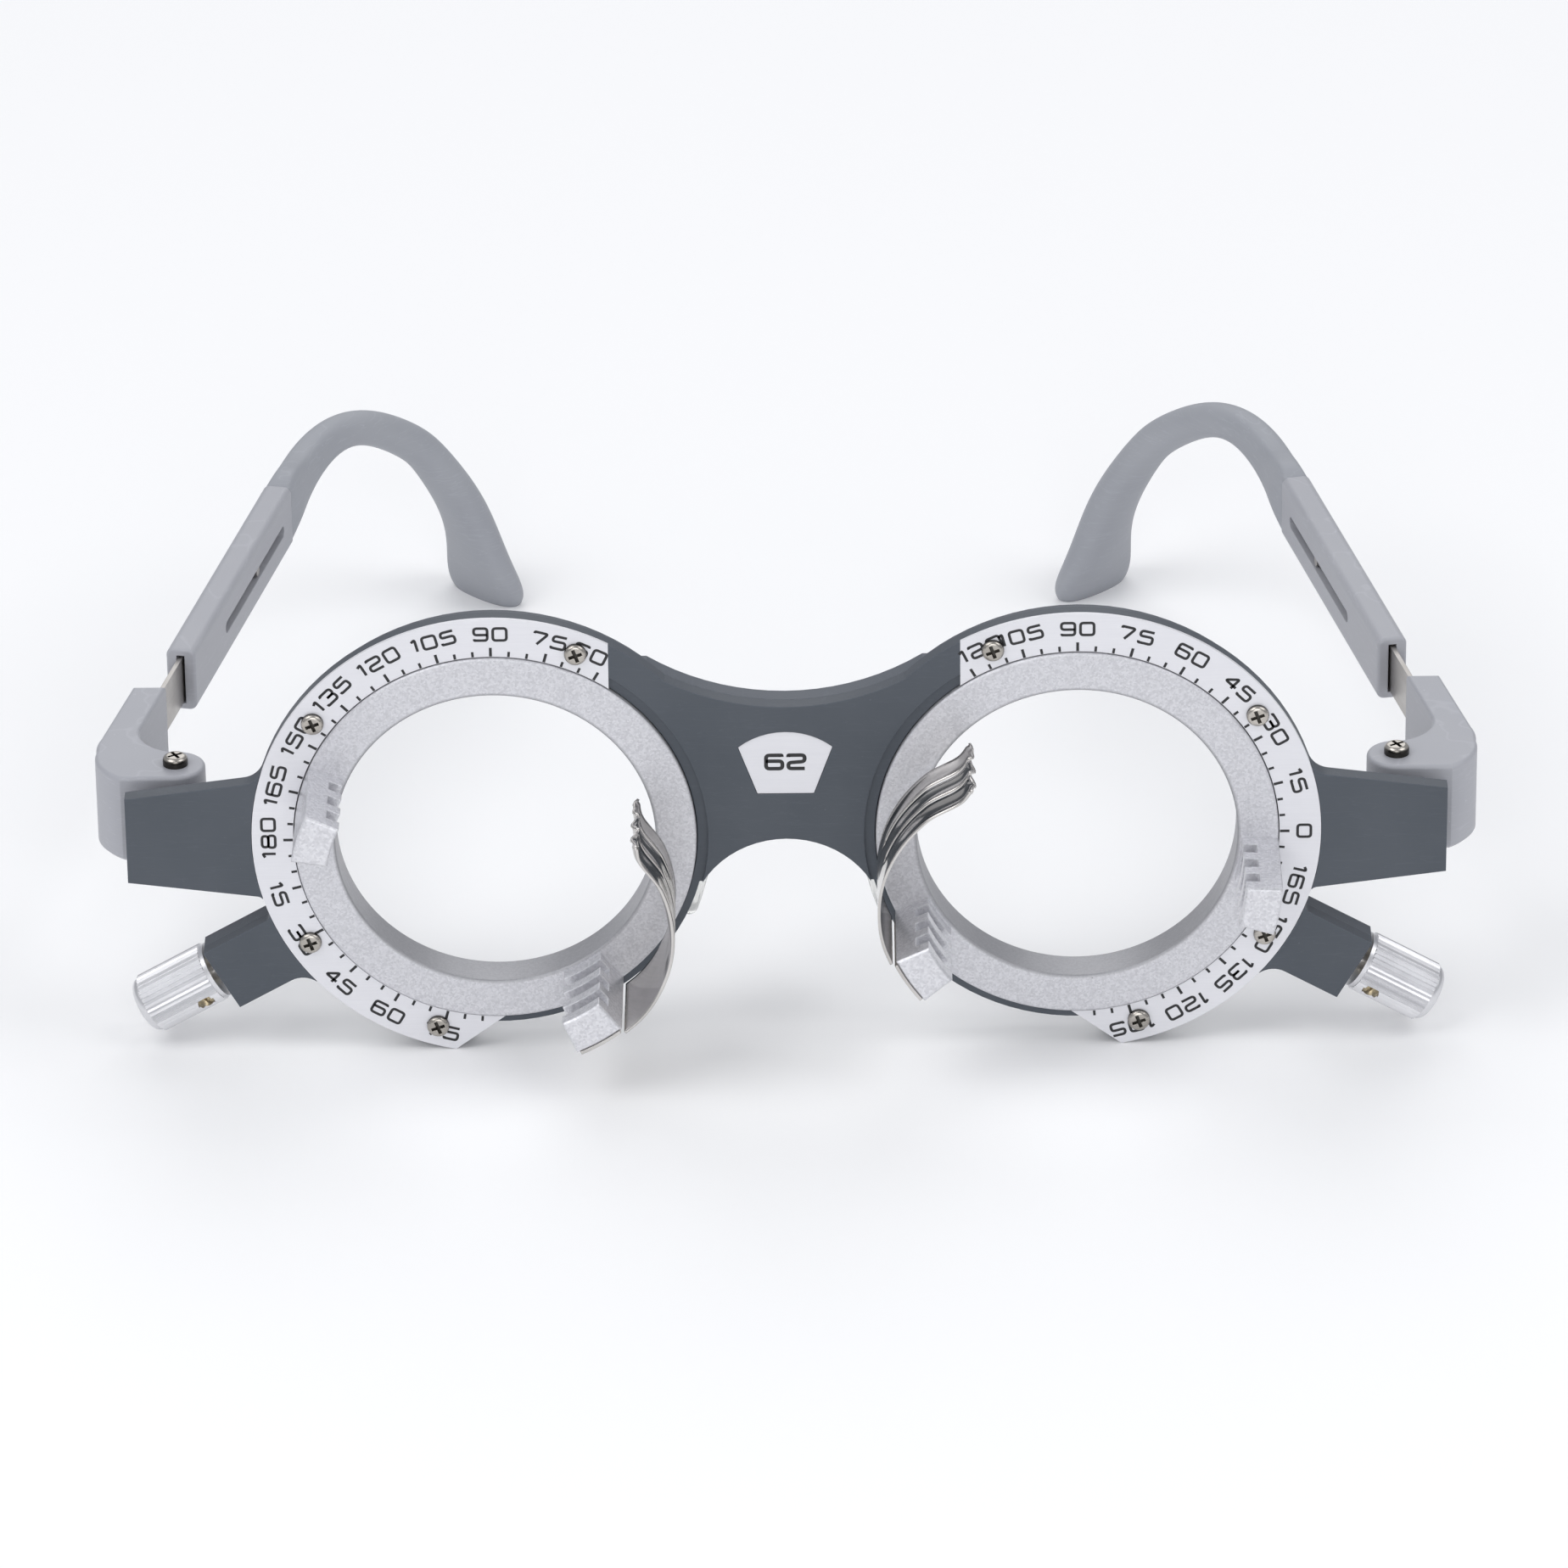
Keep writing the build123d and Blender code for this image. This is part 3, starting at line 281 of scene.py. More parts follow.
class Finish:
    # A material under construction: its tree, its shader, and short ways to wire them.

    def __init__(self, name, metallic=0.0, ior=1.5):
        self.material = bpy.data.materials.new(name)
        self.material.use_nodes = True
        self.tree = self.material.node_tree
        self.shader = self.tree.nodes["Principled BSDF"]
        self.shader.inputs["Metallic"].default_value = metallic
        self.shader.inputs["IOR"].default_value = ior

    def group(self, name, **values):
        node = self.tree.nodes.new("ShaderNodeGroup")
        node.node_tree = groups[name]
        for label, value in values.items():
            node.inputs[label.replace("_", " ")].default_value = value
        return node.outputs

    def blend(self, amount, first, second):
        mix = self.tree.nodes.new("ShaderNodeMix")
        mix.data_type = "RGBA"
        for socket, value in ((mix.inputs[0], amount), (mix.inputs[6], first), (mix.inputs[7], second)):
            if isinstance(value, (tuple, list)):
                socket.default_value = (*value, 1.0)
            elif isinstance(value, float):
                socket.default_value = value
            else:
                self.tree.links.new(value, socket)
        return mix.outputs[2]

    def colour(self, value):
        self.tree.links.new(value, self.shader.inputs["Base Color"])

    def roughness(self, value, low, high):
        ranged = self.tree.nodes.new("ShaderNodeMapRange")
        ranged.inputs["To Min"].default_value = low
        ranged.inputs["To Max"].default_value = high
        self.tree.links.new(value, ranged.inputs["Value"])
        self.tree.links.new(ranged.outputs["Result"], self.shader.inputs["Roughness"])

    def scaled(self, value, factor):
        return mathNode(self.tree, "MULTIPLY", value, factor)

    def bump(self, last, *layers):
        # each layer is a height socket, a strength and a depth in mm; they stack on the rounded normal
        for height, strength, depth in layers:
            bumpNode = self.tree.nodes.new("ShaderNodeBump")
            bumpNode.inputs["Strength"].default_value = strength
            bumpNode.inputs["Distance"].default_value = depth * mm
            self.tree.links.new(height, bumpNode.inputs["Height"])
            self.tree.links.new(last, bumpNode.inputs["Normal"])
            last = bumpNode.outputs["Normal"]
        self.tree.links.new(last, self.shader.inputs["Normal"])


def toned(tone, factor):
    # A colour made lighter or darker by a factor, kept within white.
    return tuple(min(1.0, v * factor) for v in tone)


mouldedLook = {
    "ior": 1.48,
    "speckScale": 2600.0,
    "speckLevel": 0.8,
    "speckLift": 1.35,  # lifts and shades are factors on a tone
    "smudgeScale": 75.0,
    "scratchScale": 520.0,
    "scratchLift": 1.8,
    "scratchShare": 0.1,
    "edgeRadius": 0.00016,
    "edgeGain": 5.0,
    "edgeShare": 0.55,
    "grainStrength": 0.35,
    "smudgeStrength": 0.1,
    "smudgeDepth": 0.05,  # mm, as every depth here
}


def moulded(name, base, light, rough, edgeLift=1.5, grainScale=5200.0, grainDepth=0.02):
    # Moulded plastic or rubber: fine grain, smudges, faint rubbed lines and corners worn lighter.
    look = mouldedLook
    finish = Finish(name, ior=look["ior"])
    grain = finish.group("grain", Scale=grainScale, Speck_Scale=look["speckScale"],
                         Speck_Level=look["speckLevel"])
    handling = finish.group("handling", Smudge_Scale=look["smudgeScale"],
                            Scratch_Scale=look["scratchScale"])
    edge = finish.group("edge", Radius=look["edgeRadius"], Gain=look["edgeGain"])
    tone = finish.blend(handling["Smudge"], base, light)
    tone = finish.blend(grain["Specks"], tone, toned(light, look["speckLift"]))
    scratches = finish.scaled(handling["Scratch"], look["scratchShare"])
    tone = finish.blend(scratches, tone, toned(light, look["scratchLift"]))
    tone = finish.blend(finish.scaled(edge["Edge"], look["edgeShare"]), tone, toned(light, edgeLift))
    finish.colour(tone)
    finish.roughness(handling["Smudge"], *rough)
    finish.bump(edge["Normal"], (grain["Height"], look["grainStrength"], grainDepth),
                (handling["Smudge"], look["smudgeStrength"], look["smudgeDepth"]))
    return finish.material


boreShadeBand = {"from": 17.5, "to": 17.2}  # mm from the lens axis, where the painted shade on the bore's wall starts and is full


def boreMask(tree):
    # A mask for painted shade: 1 on the wall of a cell's bore, nearer to its lens axis than the face's inner
    # edge.
    coords = tree.nodes.new("ShaderNodeTexCoord")
    split = tree.nodes.new("ShaderNodeSeparateXYZ")
    tree.links.new(coords.outputs["Object"], split.inputs["Vector"])
    mirrored = mathNode(tree, "ABSOLUTE", split.outputs["X"])
    across = mathNode(tree, "SUBTRACT", mirrored, axisPoint["right"].x)
    up = mathNode(tree, "SUBTRACT", split.outputs["Z"], axisPoint["right"].z)
    squares = [mathNode(tree, "POWER", value, 2.0) for value in (across, up)]
    away = mathNode(tree, "SQRT", mathNode(tree, "ADD", *squares))
    return spreadNode(tree, away, boreShadeBand["from"] * mm, boreShadeBand["to"] * mm)


screwRecessShade = {"from": 0.22, "to": 0.4, "shade": 0.16}  # mm below the head's top, where the painted shade starts and is full, and its darkness


def recessMask(tree, axis, top):
    # A mask for painted shade: 0 on the top of a screw head and 1 in its cross: the depth below the top along
    # one axis.
    coords = tree.nodes.new("ShaderNodeTexCoord")
    split = tree.nodes.new("ShaderNodeSeparateXYZ")
    tree.links.new(coords.outputs["Object"], split.inputs["Vector"])
    depth = mathNode(tree, "ABSOLUTE", mathNode(tree, "SUBTRACT", split.outputs[axis], top))
    return spreadNode(tree, depth, screwRecessShade["from"] * mm, screwRecessShade["to"] * mm)


paintedLook = {
    "speckScale": 2400.0,
    "speckLevel": 0.82,
    "pitShade": 0.45,
    "boreShadowTone": 0.5,  # darkness of the painted shade on the bore's wall
    "smudgeScale": 110.0,
    "edgeRadius": 0.0002,
    "edgeGain": 4.0,
    "edgeShare": 0.5,
    "edgeLift": 1.08,
    "flakeStrength": 0.4,
    "grainStrength": 0.25,
}


def painted(name, base, dark, metallic, rough, grainDepth, scale, paintedBoreShade=0.0):
    # Silver paint over a casting: flakes of slightly different brightness, a fine cast grain and, if asked,
    # painted shade darkening the bore's wall.
    look = paintedLook
    finish = Finish(name, metallic=metallic)
    flake = finish.group("flake", Scale=scale)
    grain = finish.group("grain", Scale=scale, Speck_Scale=look["speckScale"], Speck_Level=look["speckLevel"])
    handling = finish.group("handling", Smudge_Scale=look["smudgeScale"])
    edge = finish.group("edge", Radius=look["edgeRadius"], Gain=look["edgeGain"])
    tone = finish.blend(flake["Flake"], dark, base)
    tone = finish.blend(grain["Specks"], tone, toned(dark, look["pitShade"]))
    tone = finish.blend(finish.scaled(edge["Edge"], look["edgeShare"]), tone, toned(base, look["edgeLift"]))
    # painted shade: the bore's wall is darkened as if it lay in shadow
    if paintedBoreShade:
        paintedBoreShadow = finish.scaled(boreMask(finish.tree), paintedBoreShade)
        tone = finish.blend(paintedBoreShadow, tone, toned(dark, look["boreShadowTone"]))
    finish.colour(tone)
    finish.roughness(handling["Smudge"], *rough)
    finish.bump(edge["Normal"], (flake["Height"], look["flakeStrength"], grainDepth),
                (grain["Height"], look["grainStrength"], grainDepth))
    return finish.material


plateLook = {
    "lineScale": 1500.0,
    "lineStrength": 0.2,
    "lineDepth": 0.004,
    "smudgeScale": 120.0,
    "edgeRadius": 0.00006,
    "edgeGain": 4.0,
    "edgeShare": 0.5,
    "edgeTone": (0.9, 0.9, 0.92),
}


def brushedPlate(name, base, dark, metallic, rough):
    # Lacquered aluminium sheet: fine level lines under a satin lacquer.
    look = plateLook
    finish = Finish(name, metallic=metallic)
    lines = finish.group("brushed", Scale=look["lineScale"])
    handling = finish.group("handling", Smudge_Scale=look["smudgeScale"])
    edge = finish.group("edge", Radius=look["edgeRadius"], Gain=look["edgeGain"])
    tone = finish.blend(lines["Lines"], dark, base)
    finish.colour(finish.blend(finish.scaled(edge["Edge"], look["edgeShare"]), tone, look["edgeTone"]))
    finish.roughness(handling["Smudge"], *rough)
    finish.bump(edge["Normal"], (lines["Lines"], look["lineStrength"], look["lineDepth"]))
    return finish.material


metalLook = {
    "lineScale": 900.0,
    "lineStrength": 0.3,
    "smudgeScale": 160.0,
    "smudgeStrength": 0.08,
    "smudgeDepth": 0.03,
    "edgeRadius": 0.00008,
    "edgeGain": 4.0,
    "edgeShare": 0.5,
    "edgeLift": 1.15,
}


def bareMetal(name, base, dark, rough, lineDepth=0.01, shadedRecess=None):
    # Bare or plated metal: fine drawn lines, smudges, a little tarnish and, if asked, painted shade in the
    # screw head's cross.
    look = metalLook
    finish = Finish(name, metallic=1.0)
    lines = finish.group("brushed", Scale=look["lineScale"])
    handling = finish.group("handling", Smudge_Scale=look["smudgeScale"])
    edge = finish.group("edge", Radius=look["edgeRadius"], Gain=look["edgeGain"])
    tone = finish.blend(handling["Smudge"], dark, base)
    tone = finish.blend(finish.scaled(edge["Edge"], look["edgeShare"]), tone, toned(base, look["edgeLift"]))
    # painted shade: the screw head's cross recess is darkened as if in shadow
    if shadedRecess:
        tone = finish.blend(recessMask(finish.tree, *shadedRecess), tone, toned(dark, screwRecessShade["shade"]))
    finish.colour(tone)
    finish.roughness(lines["Lines"], *rough)
    finish.bump(edge["Normal"], (lines["Lines"], look["lineStrength"], lineDepth),
                (handling["Smudge"], look["smudgeStrength"], look["smudgeDepth"]))
    return finish.material


siliconeLook = {
    "ior": 1.41,
    "clearness": 0.82,
    "milky": (0.93, 0.93, 0.9),
    "clear": (0.97, 0.97, 0.96),
    "rough": (0.16, 0.3),
    "grainScale": 2600.0,
    "grainStrength": 0.15,
    "grainDepth": 0.02,
    "smudgeScale": 140.0,
    "edgeRadius": 0.0001,
    "edgeGain": 4.0,
}


def clearSilicone(name):
    # Clear, slightly milky silicone for the nose pads.
    look = siliconeLook
    finish = Finish(name, ior=look["ior"])
    grain = finish.group("grain", Scale=look["grainScale"])
    handling = finish.group("handling", Smudge_Scale=look["smudgeScale"])
    edge = finish.group("edge", Radius=look["edgeRadius"], Gain=look["edgeGain"])
    finish.shader.inputs["Transmission Weight"].default_value = look["clearness"]
    finish.colour(finish.blend(handling["Smudge"], look["milky"], look["clear"]))
    finish.roughness(handling["Smudge"], *look["rough"])
    finish.bump(edge["Normal"], (grain["Height"], look["grainStrength"], look["grainDepth"]))
    return finish.material


# each finish: its main tone, its second tone, and its roughness from and to
screwTones = {"base": (0.52, 0.49, 0.45), "dark": (0.34, 0.32, 0.29), "rough": (0.2, 0.34)}
finishes = {
    "slate": moulded("slate_plastic", base=(0.056, 0.067, 0.083), light=(0.072, 0.083, 0.1),
                     rough=(0.42, 0.55), edgeLift=2.2),
    "cover": moulded("cover_plastic", base=(0.076, 0.087, 0.106), light=(0.094, 0.106, 0.126),
                     rough=(0.42, 0.55), edgeLift=2.2),
    "hinge": moulded("hinge_plastic", base=(0.36, 0.366, 0.4), light=(0.4, 0.406, 0.437),
                     rough=(0.38, 0.5), edgeLift=1.25),
    "hook": moulded("hook_rubber", base=(0.31, 0.322, 0.355), light=(0.35, 0.362, 0.392),
                    rough=(0.46, 0.6), edgeLift=1.2),
    "plate": brushedPlate("plate_paint", base=(0.76, 0.76, 0.79), dark=(0.69, 0.69, 0.725),
                          metallic=0.25, rough=(0.34, 0.44)),
    "cell": painted("cell_paint", base=(0.67, 0.67, 0.7), dark=(0.53, 0.53, 0.56), metallic=0.45,
                    rough=(0.38, 0.5), grainDepth=0.035, scale=5000.0, paintedBoreShade=0.7),
    "comb": painted("comb_metal", base=(0.74, 0.74, 0.77), dark=(0.58, 0.58, 0.61), metallic=0.6,
                    rough=(0.26, 0.4), grainDepth=0.05, scale=4200.0),
    "clip": bareMetal("clip_steel", base=(0.66, 0.64, 0.62), dark=(0.5, 0.48, 0.46), rough=(0.1, 0.22)),
    "blade": bareMetal("blade_steel", base=(0.5, 0.48, 0.46), dark=(0.36, 0.34, 0.32), rough=(0.25, 0.4)),
    "screw": bareMetal("screw_steel", **screwTones),
    "plateScrew": bareMetal("plate_screw_steel", **screwTones, shadedRecess=("Y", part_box("plate_screws")[0].y)),
    "hingeScrew": bareMetal("hinge_screw_steel", **screwTones, shadedRecess=("Z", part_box("hinge_screw_left")[1].z)),
    "knob": bareMetal("knob_aluminium", base=(0.8, 0.8, 0.82), dark=(0.66, 0.66, 0.68),
                      rough=(0.28, 0.42), lineDepth=0.002),
    "brass": bareMetal("bush_brass", base=(0.66, 0.56, 0.36), dark=(0.46, 0.37, 0.22), rough=(0.2, 0.35)),
    "pad": clearSilicone("pad_silicone"),
    "print": moulded("scale_print", base=(0.012, 0.012, 0.014), light=(0.02, 0.02, 0.022),
                     rough=(0.4, 0.5), edgeLift=1.0, grainScale=3000.0, grainDepth=0.005),
}
finishOf = {  # by the start of a node's name
    "front_housing": "slate", "back_cover": "cover", "centre_plate": "plate", "scale_plate": "plate",
    "plate_screws": "plateScrew", "cover_screws": "screw", "shaft_bush": "brass", "pad_wire": "clip",
    "lens_cell": "cell", "retaining_ring": "cell", "lens_comb": "comb", "clip_foot": "clip",
    "clip_rivets": "screw", "spring_leaf": "clip", "pinion_shaft": "clip", "knob": "knob",
    "set_screw": "brass", "hinge_block": "hinge", "hinge_screw": "hingeScrew", "temple_blade": "blade",
    "temple_sleeve": "hinge", "ear_hook": "hook", "nose_pad": "pad",
}
longestFirst = sorted(finishOf, key=len, reverse=True)
for name, node in nodes.items():
    material = finishes[finishOf[next(start for start in longestFirst if name.startswith(start))]]
    if not node.material_slots:
        node.data.materials.append(material)
    for slot in node.material_slots:
        slot.material = material
print("finishes set")

floorFinish = Finish("floor_paper")
floorFinish.shader.inputs["Base Color"].default_value = studio["floorColour"]
floorFinish.shader.inputs["Roughness"].default_value = studio["floorRoughness"]
floor.data.materials.append(floorFinish.material)

# printed scales: ticks and numbers as thin raised ink
dial = {
    "inkHeight": 0.02,  # mm, as every size here
    "inkGap": 0.001,  # between the plate and the ink
    "digitHeight": 1.7,
    "digitWidth": 1.72,
    "stroke": 0.29,
    "gap": 0.3,  # between digits
    "labelRadius": 24.2,
    "tickInner": 21.62,
    "bigTickOuter": 22.63,
    "smallTickOuter": 22.22,
    "bigTickWidth": 0.3,
    "smallTickWidth": 0.27,
    "step": 5,
    "bigStep": 15,
}
scalePlan = {
    # each row: angle of a number round the lens axis, number, whether its top points inwards
    "left": [(64.3, 60, False)] + [(a, a % 180 if a > 180 else a, a > 187) for a in range(75, 256, 15)],
    "right": [(115.6, 120, False)] + [(a, a % 180, False) for a in range(105, -76, -15)],
}
tickSpan = {"left": (60, 266), "right": (-85, 121)}

cornerRound = 0.192  # how round the digits' corners are, as a share of their height
sideShare = 0.49  # the most of a side that one corner may take


def roundedPath(points, closed, radius):
    # A broken line with each inner corner replaced by a short arc, as an array of points.
    points = [np.array(p, float) for p in points]
    made = []
    count = len(points)
    for i, here in enumerate(points):
        if not closed and i in (0, count - 1):
            made.append(here)
            continue
        before, after = points[i - 1], points[(i + 1) % count]
        inLength, outLength = np.linalg.norm(here - before), np.linalg.norm(after - here)
        cut = min(radius, sideShare * inLength, sideShare * outLength)
        start = here + (before - here) / inLength * cut
        end = here + (after - here) / outLength * cut
        for t in (0.0, 0.25, 0.5, 0.75, 1.0):  # a quadratic curve through the corner
            made.append((1 - t) ** 2 * start + 2 * t * (1 - t) * here + t * t * end)
    return np.array(made)


digitStrokes = {  # in a box 1 wide and 1 high: points, whether the stroke is closed
    "0": [([(0, 0), (1, 0), (1, 1), (0, 1)], True)],
    "1": [([(0.45, 0.8), (0.85, 1), (0.85, 0)], False)],
    "2": [([(0, 0.86), (0, 1), (1, 1), (1, 0.52), (0, 0.44), (0, 0), (1, 0)], False)],
    "3": [([(0, 0.86), (0, 1), (1, 1), (1, 0.52), (0.35, 0.52)], False),
          ([(0.35, 0.52), (1, 0.52), (1, 0), (0, 0), (0, 0.14)], False)],
    "4": [([(0.78, 0), (0.78, 1), (0, 0.26), (1.05, 0.26)], False)],
    "5": [([(1, 1), (0.05, 1), (0, 0.56), (1, 0.58), (1, 0), (0, 0), (0, 0.14)], False)],
    "6": [([(0.96, 0.88), (0.96, 1), (0, 1), (0, 0), (1, 0), (1, 0.56), (0, 0.56)], False)],
    "7": [([(0, 0.86), (0, 1), (1, 1), (0.34, 0)], False)],
    "8": [([(0, 0), (1, 0), (1, 0.52), (0, 0.52)], True),
          ([(0.04, 0.52), (0.96, 0.52), (0.96, 1), (0.04, 1)], True)],
    "9": [([(0.04, 0.12), (0.04, 0), (1, 0), (1, 1), (0, 1), (0, 0.46), (1, 0.46)], False)],
}
digitWidths = {"1": 0.62}
tiny = 1e-9  # shorter than any real step
sharpest = 0.6  # limits how far a stroke's corner reaches out


def lengthOf(steps):
    # The length of each row, never quite nothing, so that it can divide.
    return np.maximum(np.linalg.norm(steps, axis=1, keepdims=True), tiny)


class Ink:
    # Flat strokes gathered into one thin raised mesh.

    def __init__(self):
        self.points = []
        self.faces = []

    def ribbon(self, path, width, closed=False):
        # A stroke of a width along a path, each corner cut on the bisector, given as two rails.
        path = np.asarray(path, float)
        if closed:
            before, after = np.roll(path, 1, 0), np.roll(path, -1, 0)
        else:
            before, after = np.vstack([path[:1], path[:-1]]), np.vstack([path[1:], path[-1:]])
        along = path - before
        onward = after - path
        along[np.linalg.norm(along, axis=1) < tiny] = 0
        tangent = along / lengthOf(along) + onward / lengthOf(onward)
        tangent /= lengthOf(tangent)
        normal = np.stack([-tangent[:, 1], tangent[:, 0]], 1)
        moved = np.linalg.norm(along, axis=1, keepdims=True) > tiny
        unit = np.where(moved, along / lengthOf(along), onward / lengthOf(onward))
        cosine = np.abs(np.sum(tangent * unit, 1, keepdims=True))
        spread = width / 2 / np.clip(cosine, sharpest, 1)
        rails = np.concatenate([path + normal * spread, path - normal * spread])
        self.prism(rails, len(path), closed)

    def prism(self, rails, count, closed):
        # Raises two rails into a closed strip: bottom points at 0, top points at 1.
        base = sum(len(p) for p in self.points)
        flat = np.column_stack([rails, np.zeros(len(rails))])
        raised = np.column_stack([rails, np.ones(len(rails))])
        self.points.append(np.concatenate([flat, raised]))
        last = count if closed else count - 1
        left, right = base, base + count
        up = 2 * count
        for i in range(last):
            j = (i + 1) % count
            self.faces.append((left + i + up, right + i + up, right + j + up, left + j + up))
            self.faces.append((left + j, right + j, right + i, left + i))
            self.faces.append((left + i, left + i + up, left + j + up, left + j))
            self.faces.append((right + j, right + j + up, right + i + up, right + i))
        if not closed:
            end = count - 1
            self.faces.append((left, right, right + up, left + up))
            self.faces.append((left + end + up, right + end + up, right + end, left + end))

    def number(self, text, place, turn, height, width, stroke, gap):
        # A number centred on a place, turned by an angle in radians, all in the plate's plane.
        widths = [digitWidths.get(c, 1.0) * width - (stroke if c not in digitWidths else 0) for c in text]
        total = sum(widths) + (gap + stroke) * (len(text) - 1)
        pen = -total / 2
        c, s = math.cos(turn), math.sin(turn)
        for digit, wide in zip(text, widths):
            for points, closed in digitStrokes[digit]:
                scaled = np.array(points, float)
                scaled[:, 0] = pen + scaled[:, 0] * wide
                scaled[:, 1] = (scaled[:, 1] - 0.5) * (height - stroke)
                path = roundedPath(scaled, closed, cornerRound * height)
                turned = np.stack([path[:, 0] * c - path[:, 1] * s, path[:, 0] * s + path[:, 1] * c], 1)
                self.ribbon(turned + np.array(place), stroke, closed)
            pen += wide + gap + stroke

    def finish(self, name, frontY, height):
        # Places the ink: its plane's x and y become X and Z, standing out from frontY.
        flat = np.concatenate(self.points)
        placed = np.column_stack([flat[:, 0] * mm, frontY - flat[:, 2] * height * mm, flat[:, 1] * mm])
        return newMesh(name, placed, self.faces)


def marksOf(hand):
    # All ticks and numbers of one scale plate.
    ink = Ink()
    centre = np.array([axisPoint[hand].x, axisPoint[hand].z]) / mm
    for angle in range(*tickSpan[hand], dial["step"]):
        big = angle % dial["bigStep"] == 0
        out = np.array([math.cos(math.radians(angle)), math.sin(math.radians(angle))])
        far = dial["bigTickOuter"] if big else dial["smallTickOuter"]
        width = dial["bigTickWidth"] if big else dial["smallTickWidth"]
        ink.ribbon([centre + out * dial["tickInner"], centre + out * far], width)
    for angle, number, inwards in scalePlan[hand]:
        out = np.array([math.cos(math.radians(angle)), math.sin(math.radians(angle))])
        turn = math.radians(angle - 90 + (180 if inwards else 0))
        ink.number(str(number), centre + out * dial["labelRadius"], turn, dial["digitHeight"],
                   dial["digitWidth"], dial["stroke"], dial["gap"])
    marks = ink.finish(f"scale_marks_{hand}", faceY - dial["inkGap"] * mm, dial["inkHeight"])
    marks.data.materials.append(finishes["print"])
    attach(marks, "front")
    return marks


for hand in sides:
    marksOf(hand)

centreDial = {"digitHeight": 2.0, "digitWidth": 2.15, "stroke": 0.41, "gap": 0.22, "lift": 0.1}
plateLow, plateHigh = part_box("centre_plate")
ink = Ink()
middle = (plateLow + plateHigh) / 2
ink.number("62", (middle.x / mm, middle.z / mm + centreDial["lift"]), 0.0, centreDial["digitHeight"],
           centreDial["digitWidth"], centreDial["stroke"], centreDial["gap"])
centreMarks = ink.finish("centre_marks", plateLow.y - dial["inkGap"] * mm, dial["inkHeight"])
centreMarks.data.materials.append(finishes["print"])
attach(centreMarks, "front")
print("scales printed")

# spring clips: three arched fingers cut in one strip, with crimped tips
clip = {
    "turn": {"left": 308.5, "right": 205.0},  # degrees round the lens axis where the strip leaves its foot
    "sweep": {"left": 1, "right": -1},
    "route": [(0, 0.7), (6, 0.65), (18, 0.05), (34, -1.35), (50, -3.35), (64, -5.35), (70, -5.15)],
    "front": -12.0,  # mm, depth of the front edge and of the back edge
    "back": -1.2,
    "thickness": 0.3,
    "fingers": 3,
    "slit": 0.75,
    "slitFrom": 27.0,  # degrees along the strip
    "slitTaper": 2.0,  # degrees over which a slit opens
    "arch": 0.5,  # how far a finger's middle stands in from its edges
    "archFrom": -8,  # degrees from the slits' start, where the arch begins and is full
    "archTo": 12,
    "tipLength": 3.2,  # degrees of crimped tip
    "crimp": 0.16,
    "crimpWaves": (9.0, 2.1, 1.7),  # radians across a finger, from finger to finger, and per degree
    "lengthSteps": 110,
    "widthSteps": 10,
    "weld": 1e-6,
}
cellRadius = (cellBox["left"][1].x - cellBox["left"][0].x) / 2 / mm


def alongRoute(knots, t):
    # A smooth curve through the knots: cubic steps between them, with the slopes of their neighbours.
    x, y = np.array(knots, float).T
    slope = np.gradient(y, x)
    i = np.clip(np.searchsorted(x, t, side="right") - 1, 0, len(x) - 2)
    step = x[i + 1] - x[i]
    f = (t - x[i]) / step
    return (y[i] * (1 + 2 * f) * (1 - f) ** 2 + slope[i] * step * f * (1 - f) ** 2
            + y[i + 1] * f * f * (3 - 2 * f) + slope[i + 1] * step * f * f * (f - 1))


def smoothStep(value, low, high):
    # 0 below low and 1 above high, with a cubic ease between them.
    f = np.clip((value - low) / (high - low), 0, 1)
    return f * f * (3 - 2 * f)


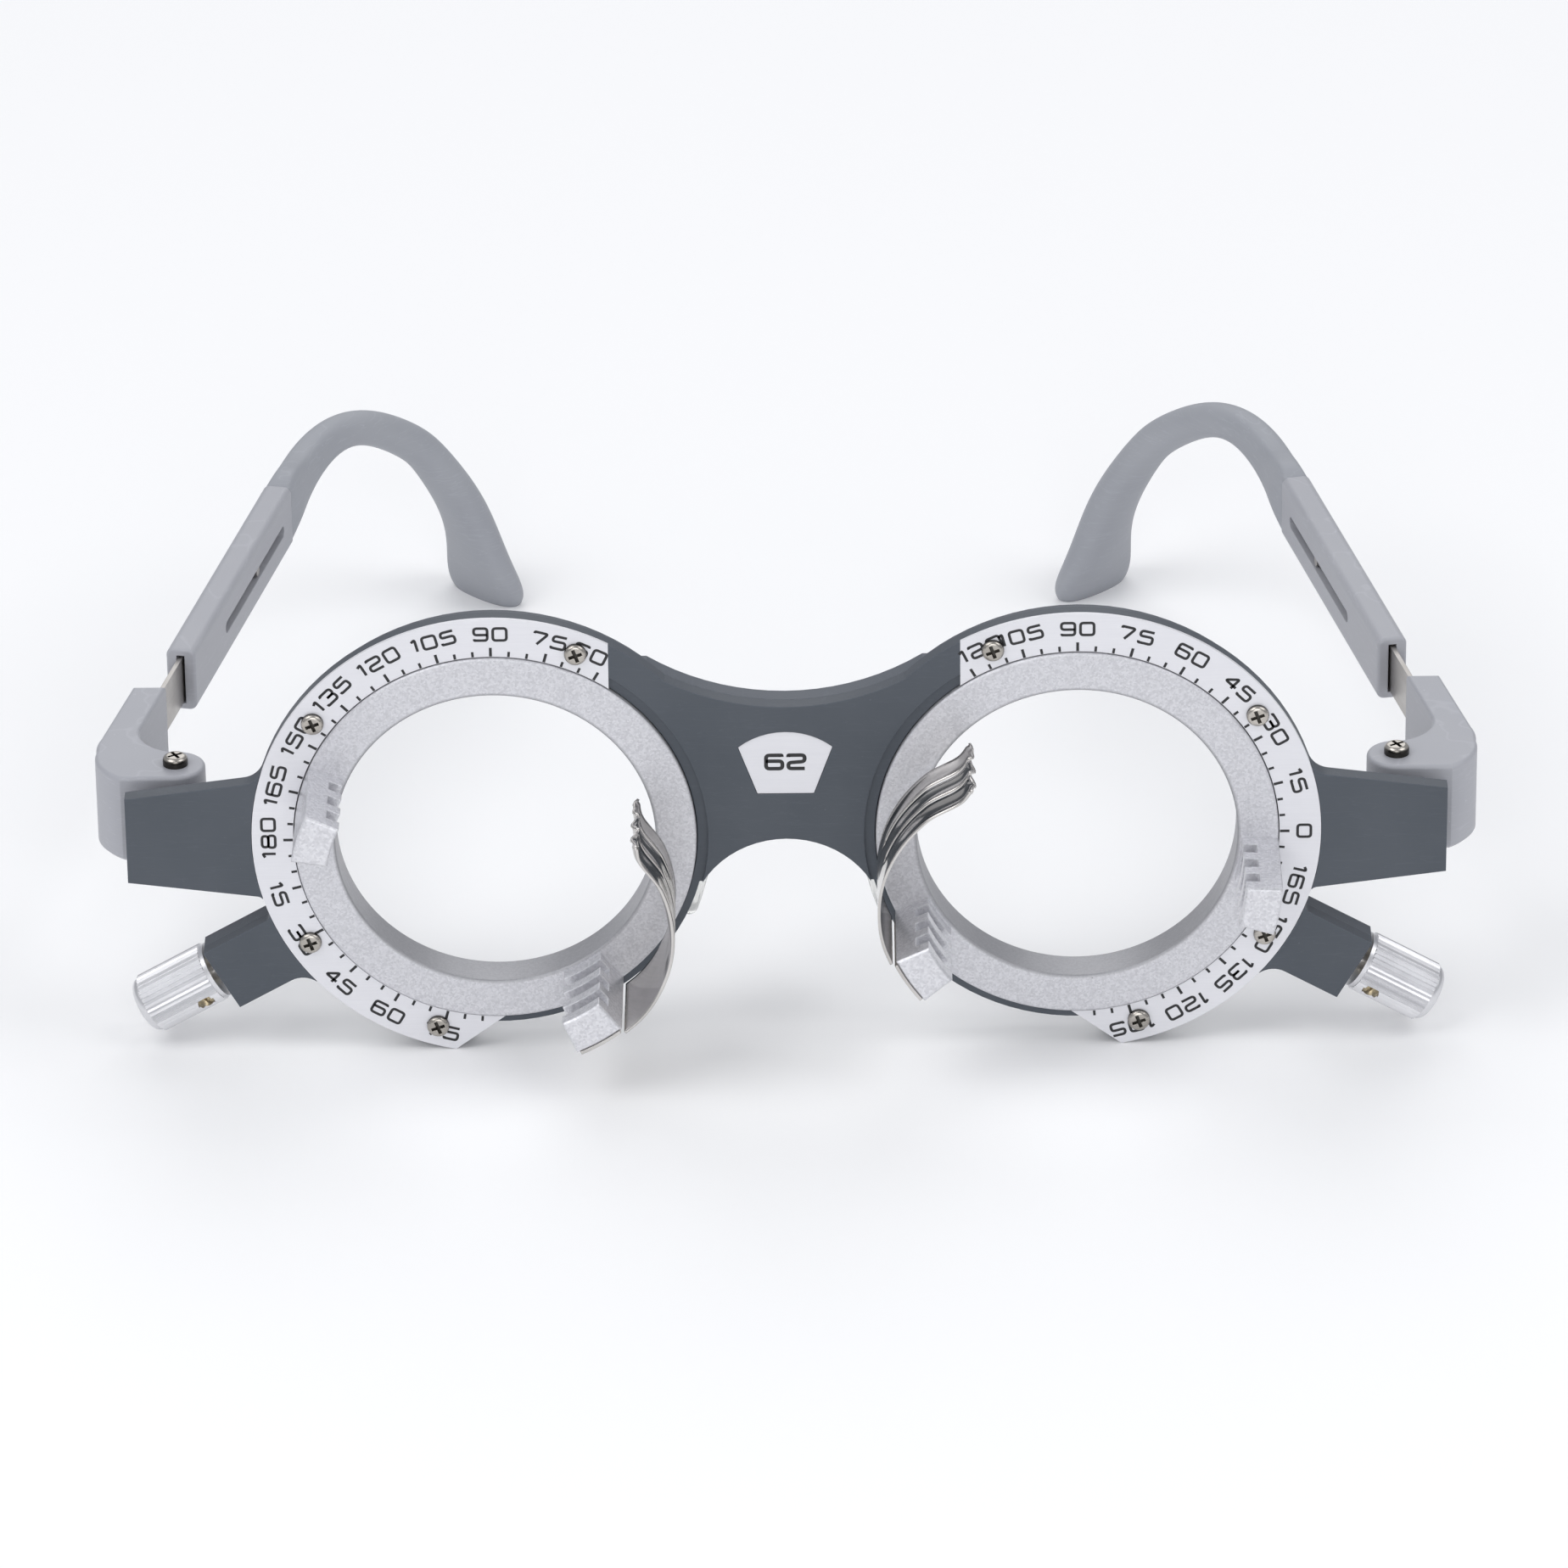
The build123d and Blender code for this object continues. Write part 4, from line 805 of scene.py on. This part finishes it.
def springClip(hand):
    # For each finger, a grid over the angle along the strip and the share across the finger.
    # Its distance from the lens axis is the cell's radius plus the route, less the arch,
    # a parabola across the finger, plus the crimp, a sine that grows towards the tip.
    lengthSteps, widthSteps = clip["lengthSteps"], clip["widthSteps"]
    acrossWave, fingerWave, alongWave = clip["crimpWaves"]
    last = clip["route"][-1][0]
    angle = np.linspace(0, last, lengthSteps)[:, None]
    across = np.linspace(0, 1, widthSteps)[None, :]
    pitch = (clip["back"] - clip["front"]) / clip["fingers"]
    opened = smoothStep(angle, clip["slitFrom"], clip["slitFrom"] + clip["slitTaper"])
    arched = smoothStep(angle, clip["slitFrom"] + clip["archFrom"], clip["slitFrom"] + clip["archTo"])
    tip = smoothStep(angle, last - clip["tipLength"], last)
    points, faces = [], []
    for finger in range(clip["fingers"]):
        gapLow = clip["slit"] / 2 * opened * (finger > 0)
        gapHigh = clip["slit"] / 2 * opened * (finger < clip["fingers"] - 1)
        low = clip["front"] + finger * pitch + gapLow
        high = clip["front"] + (finger + 1) * pitch - gapHigh
        depth = low + (high - low) * across
        arch = clip["arch"] * 4 * across * (1 - across) * arched
        wave = np.sin(across * acrossWave + finger * fingerWave + angle * alongWave)
        crimp = clip["crimp"] * tip * wave
        radius = cellRadius + alongRoute(clip["route"], angle) - clip["thickness"] / 2 - arch + crimp
        turned = np.radians(clip["turn"][hand] + clip["sweep"][hand] * angle) + 0 * across
        centre = axisPoint[hand]
        grid = np.stack([centre.x + radius * np.cos(turned) * mm,
                         faceY + depth * mm + 0 * radius,
                         centre.z + radius * np.sin(turned) * mm], -1)
        base = finger * lengthSteps * widthSteps
        i, j = np.meshgrid(np.arange(lengthSteps - 1), np.arange(widthSteps - 1), indexing="ij")
        first = base + (i * widthSteps + j).ravel()
        quads = np.stack([first, first + 1, first + widthSteps + 1, first + widthSteps], 1)
        points.append(grid.reshape(-1, 3))
        faces.append(quads if clip["sweep"][hand] > 0 else quads[:, ::-1])
    piece = newMesh(f"spring_clip_{hand}", np.concatenate(points), np.concatenate(faces), smooth=True)
    joined = bmesh.new()
    joined.from_mesh(piece.data)
    bmesh.ops.remove_doubles(joined, verts=joined.verts, dist=clip["weld"])
    joined.to_mesh(piece.data)
    joined.free()
    wall = piece.modifiers.new("wall", "SOLIDIFY")
    wall.thickness = clip["thickness"] * mm
    wall.offset = 0
    piece.data.materials.append(finishes["clip"])
    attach(piece, f"clip_{hand}")
    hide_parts(f"spring_leaf_{hand}")


for hand in sides:
    springClip(hand)
print("spring clips made")
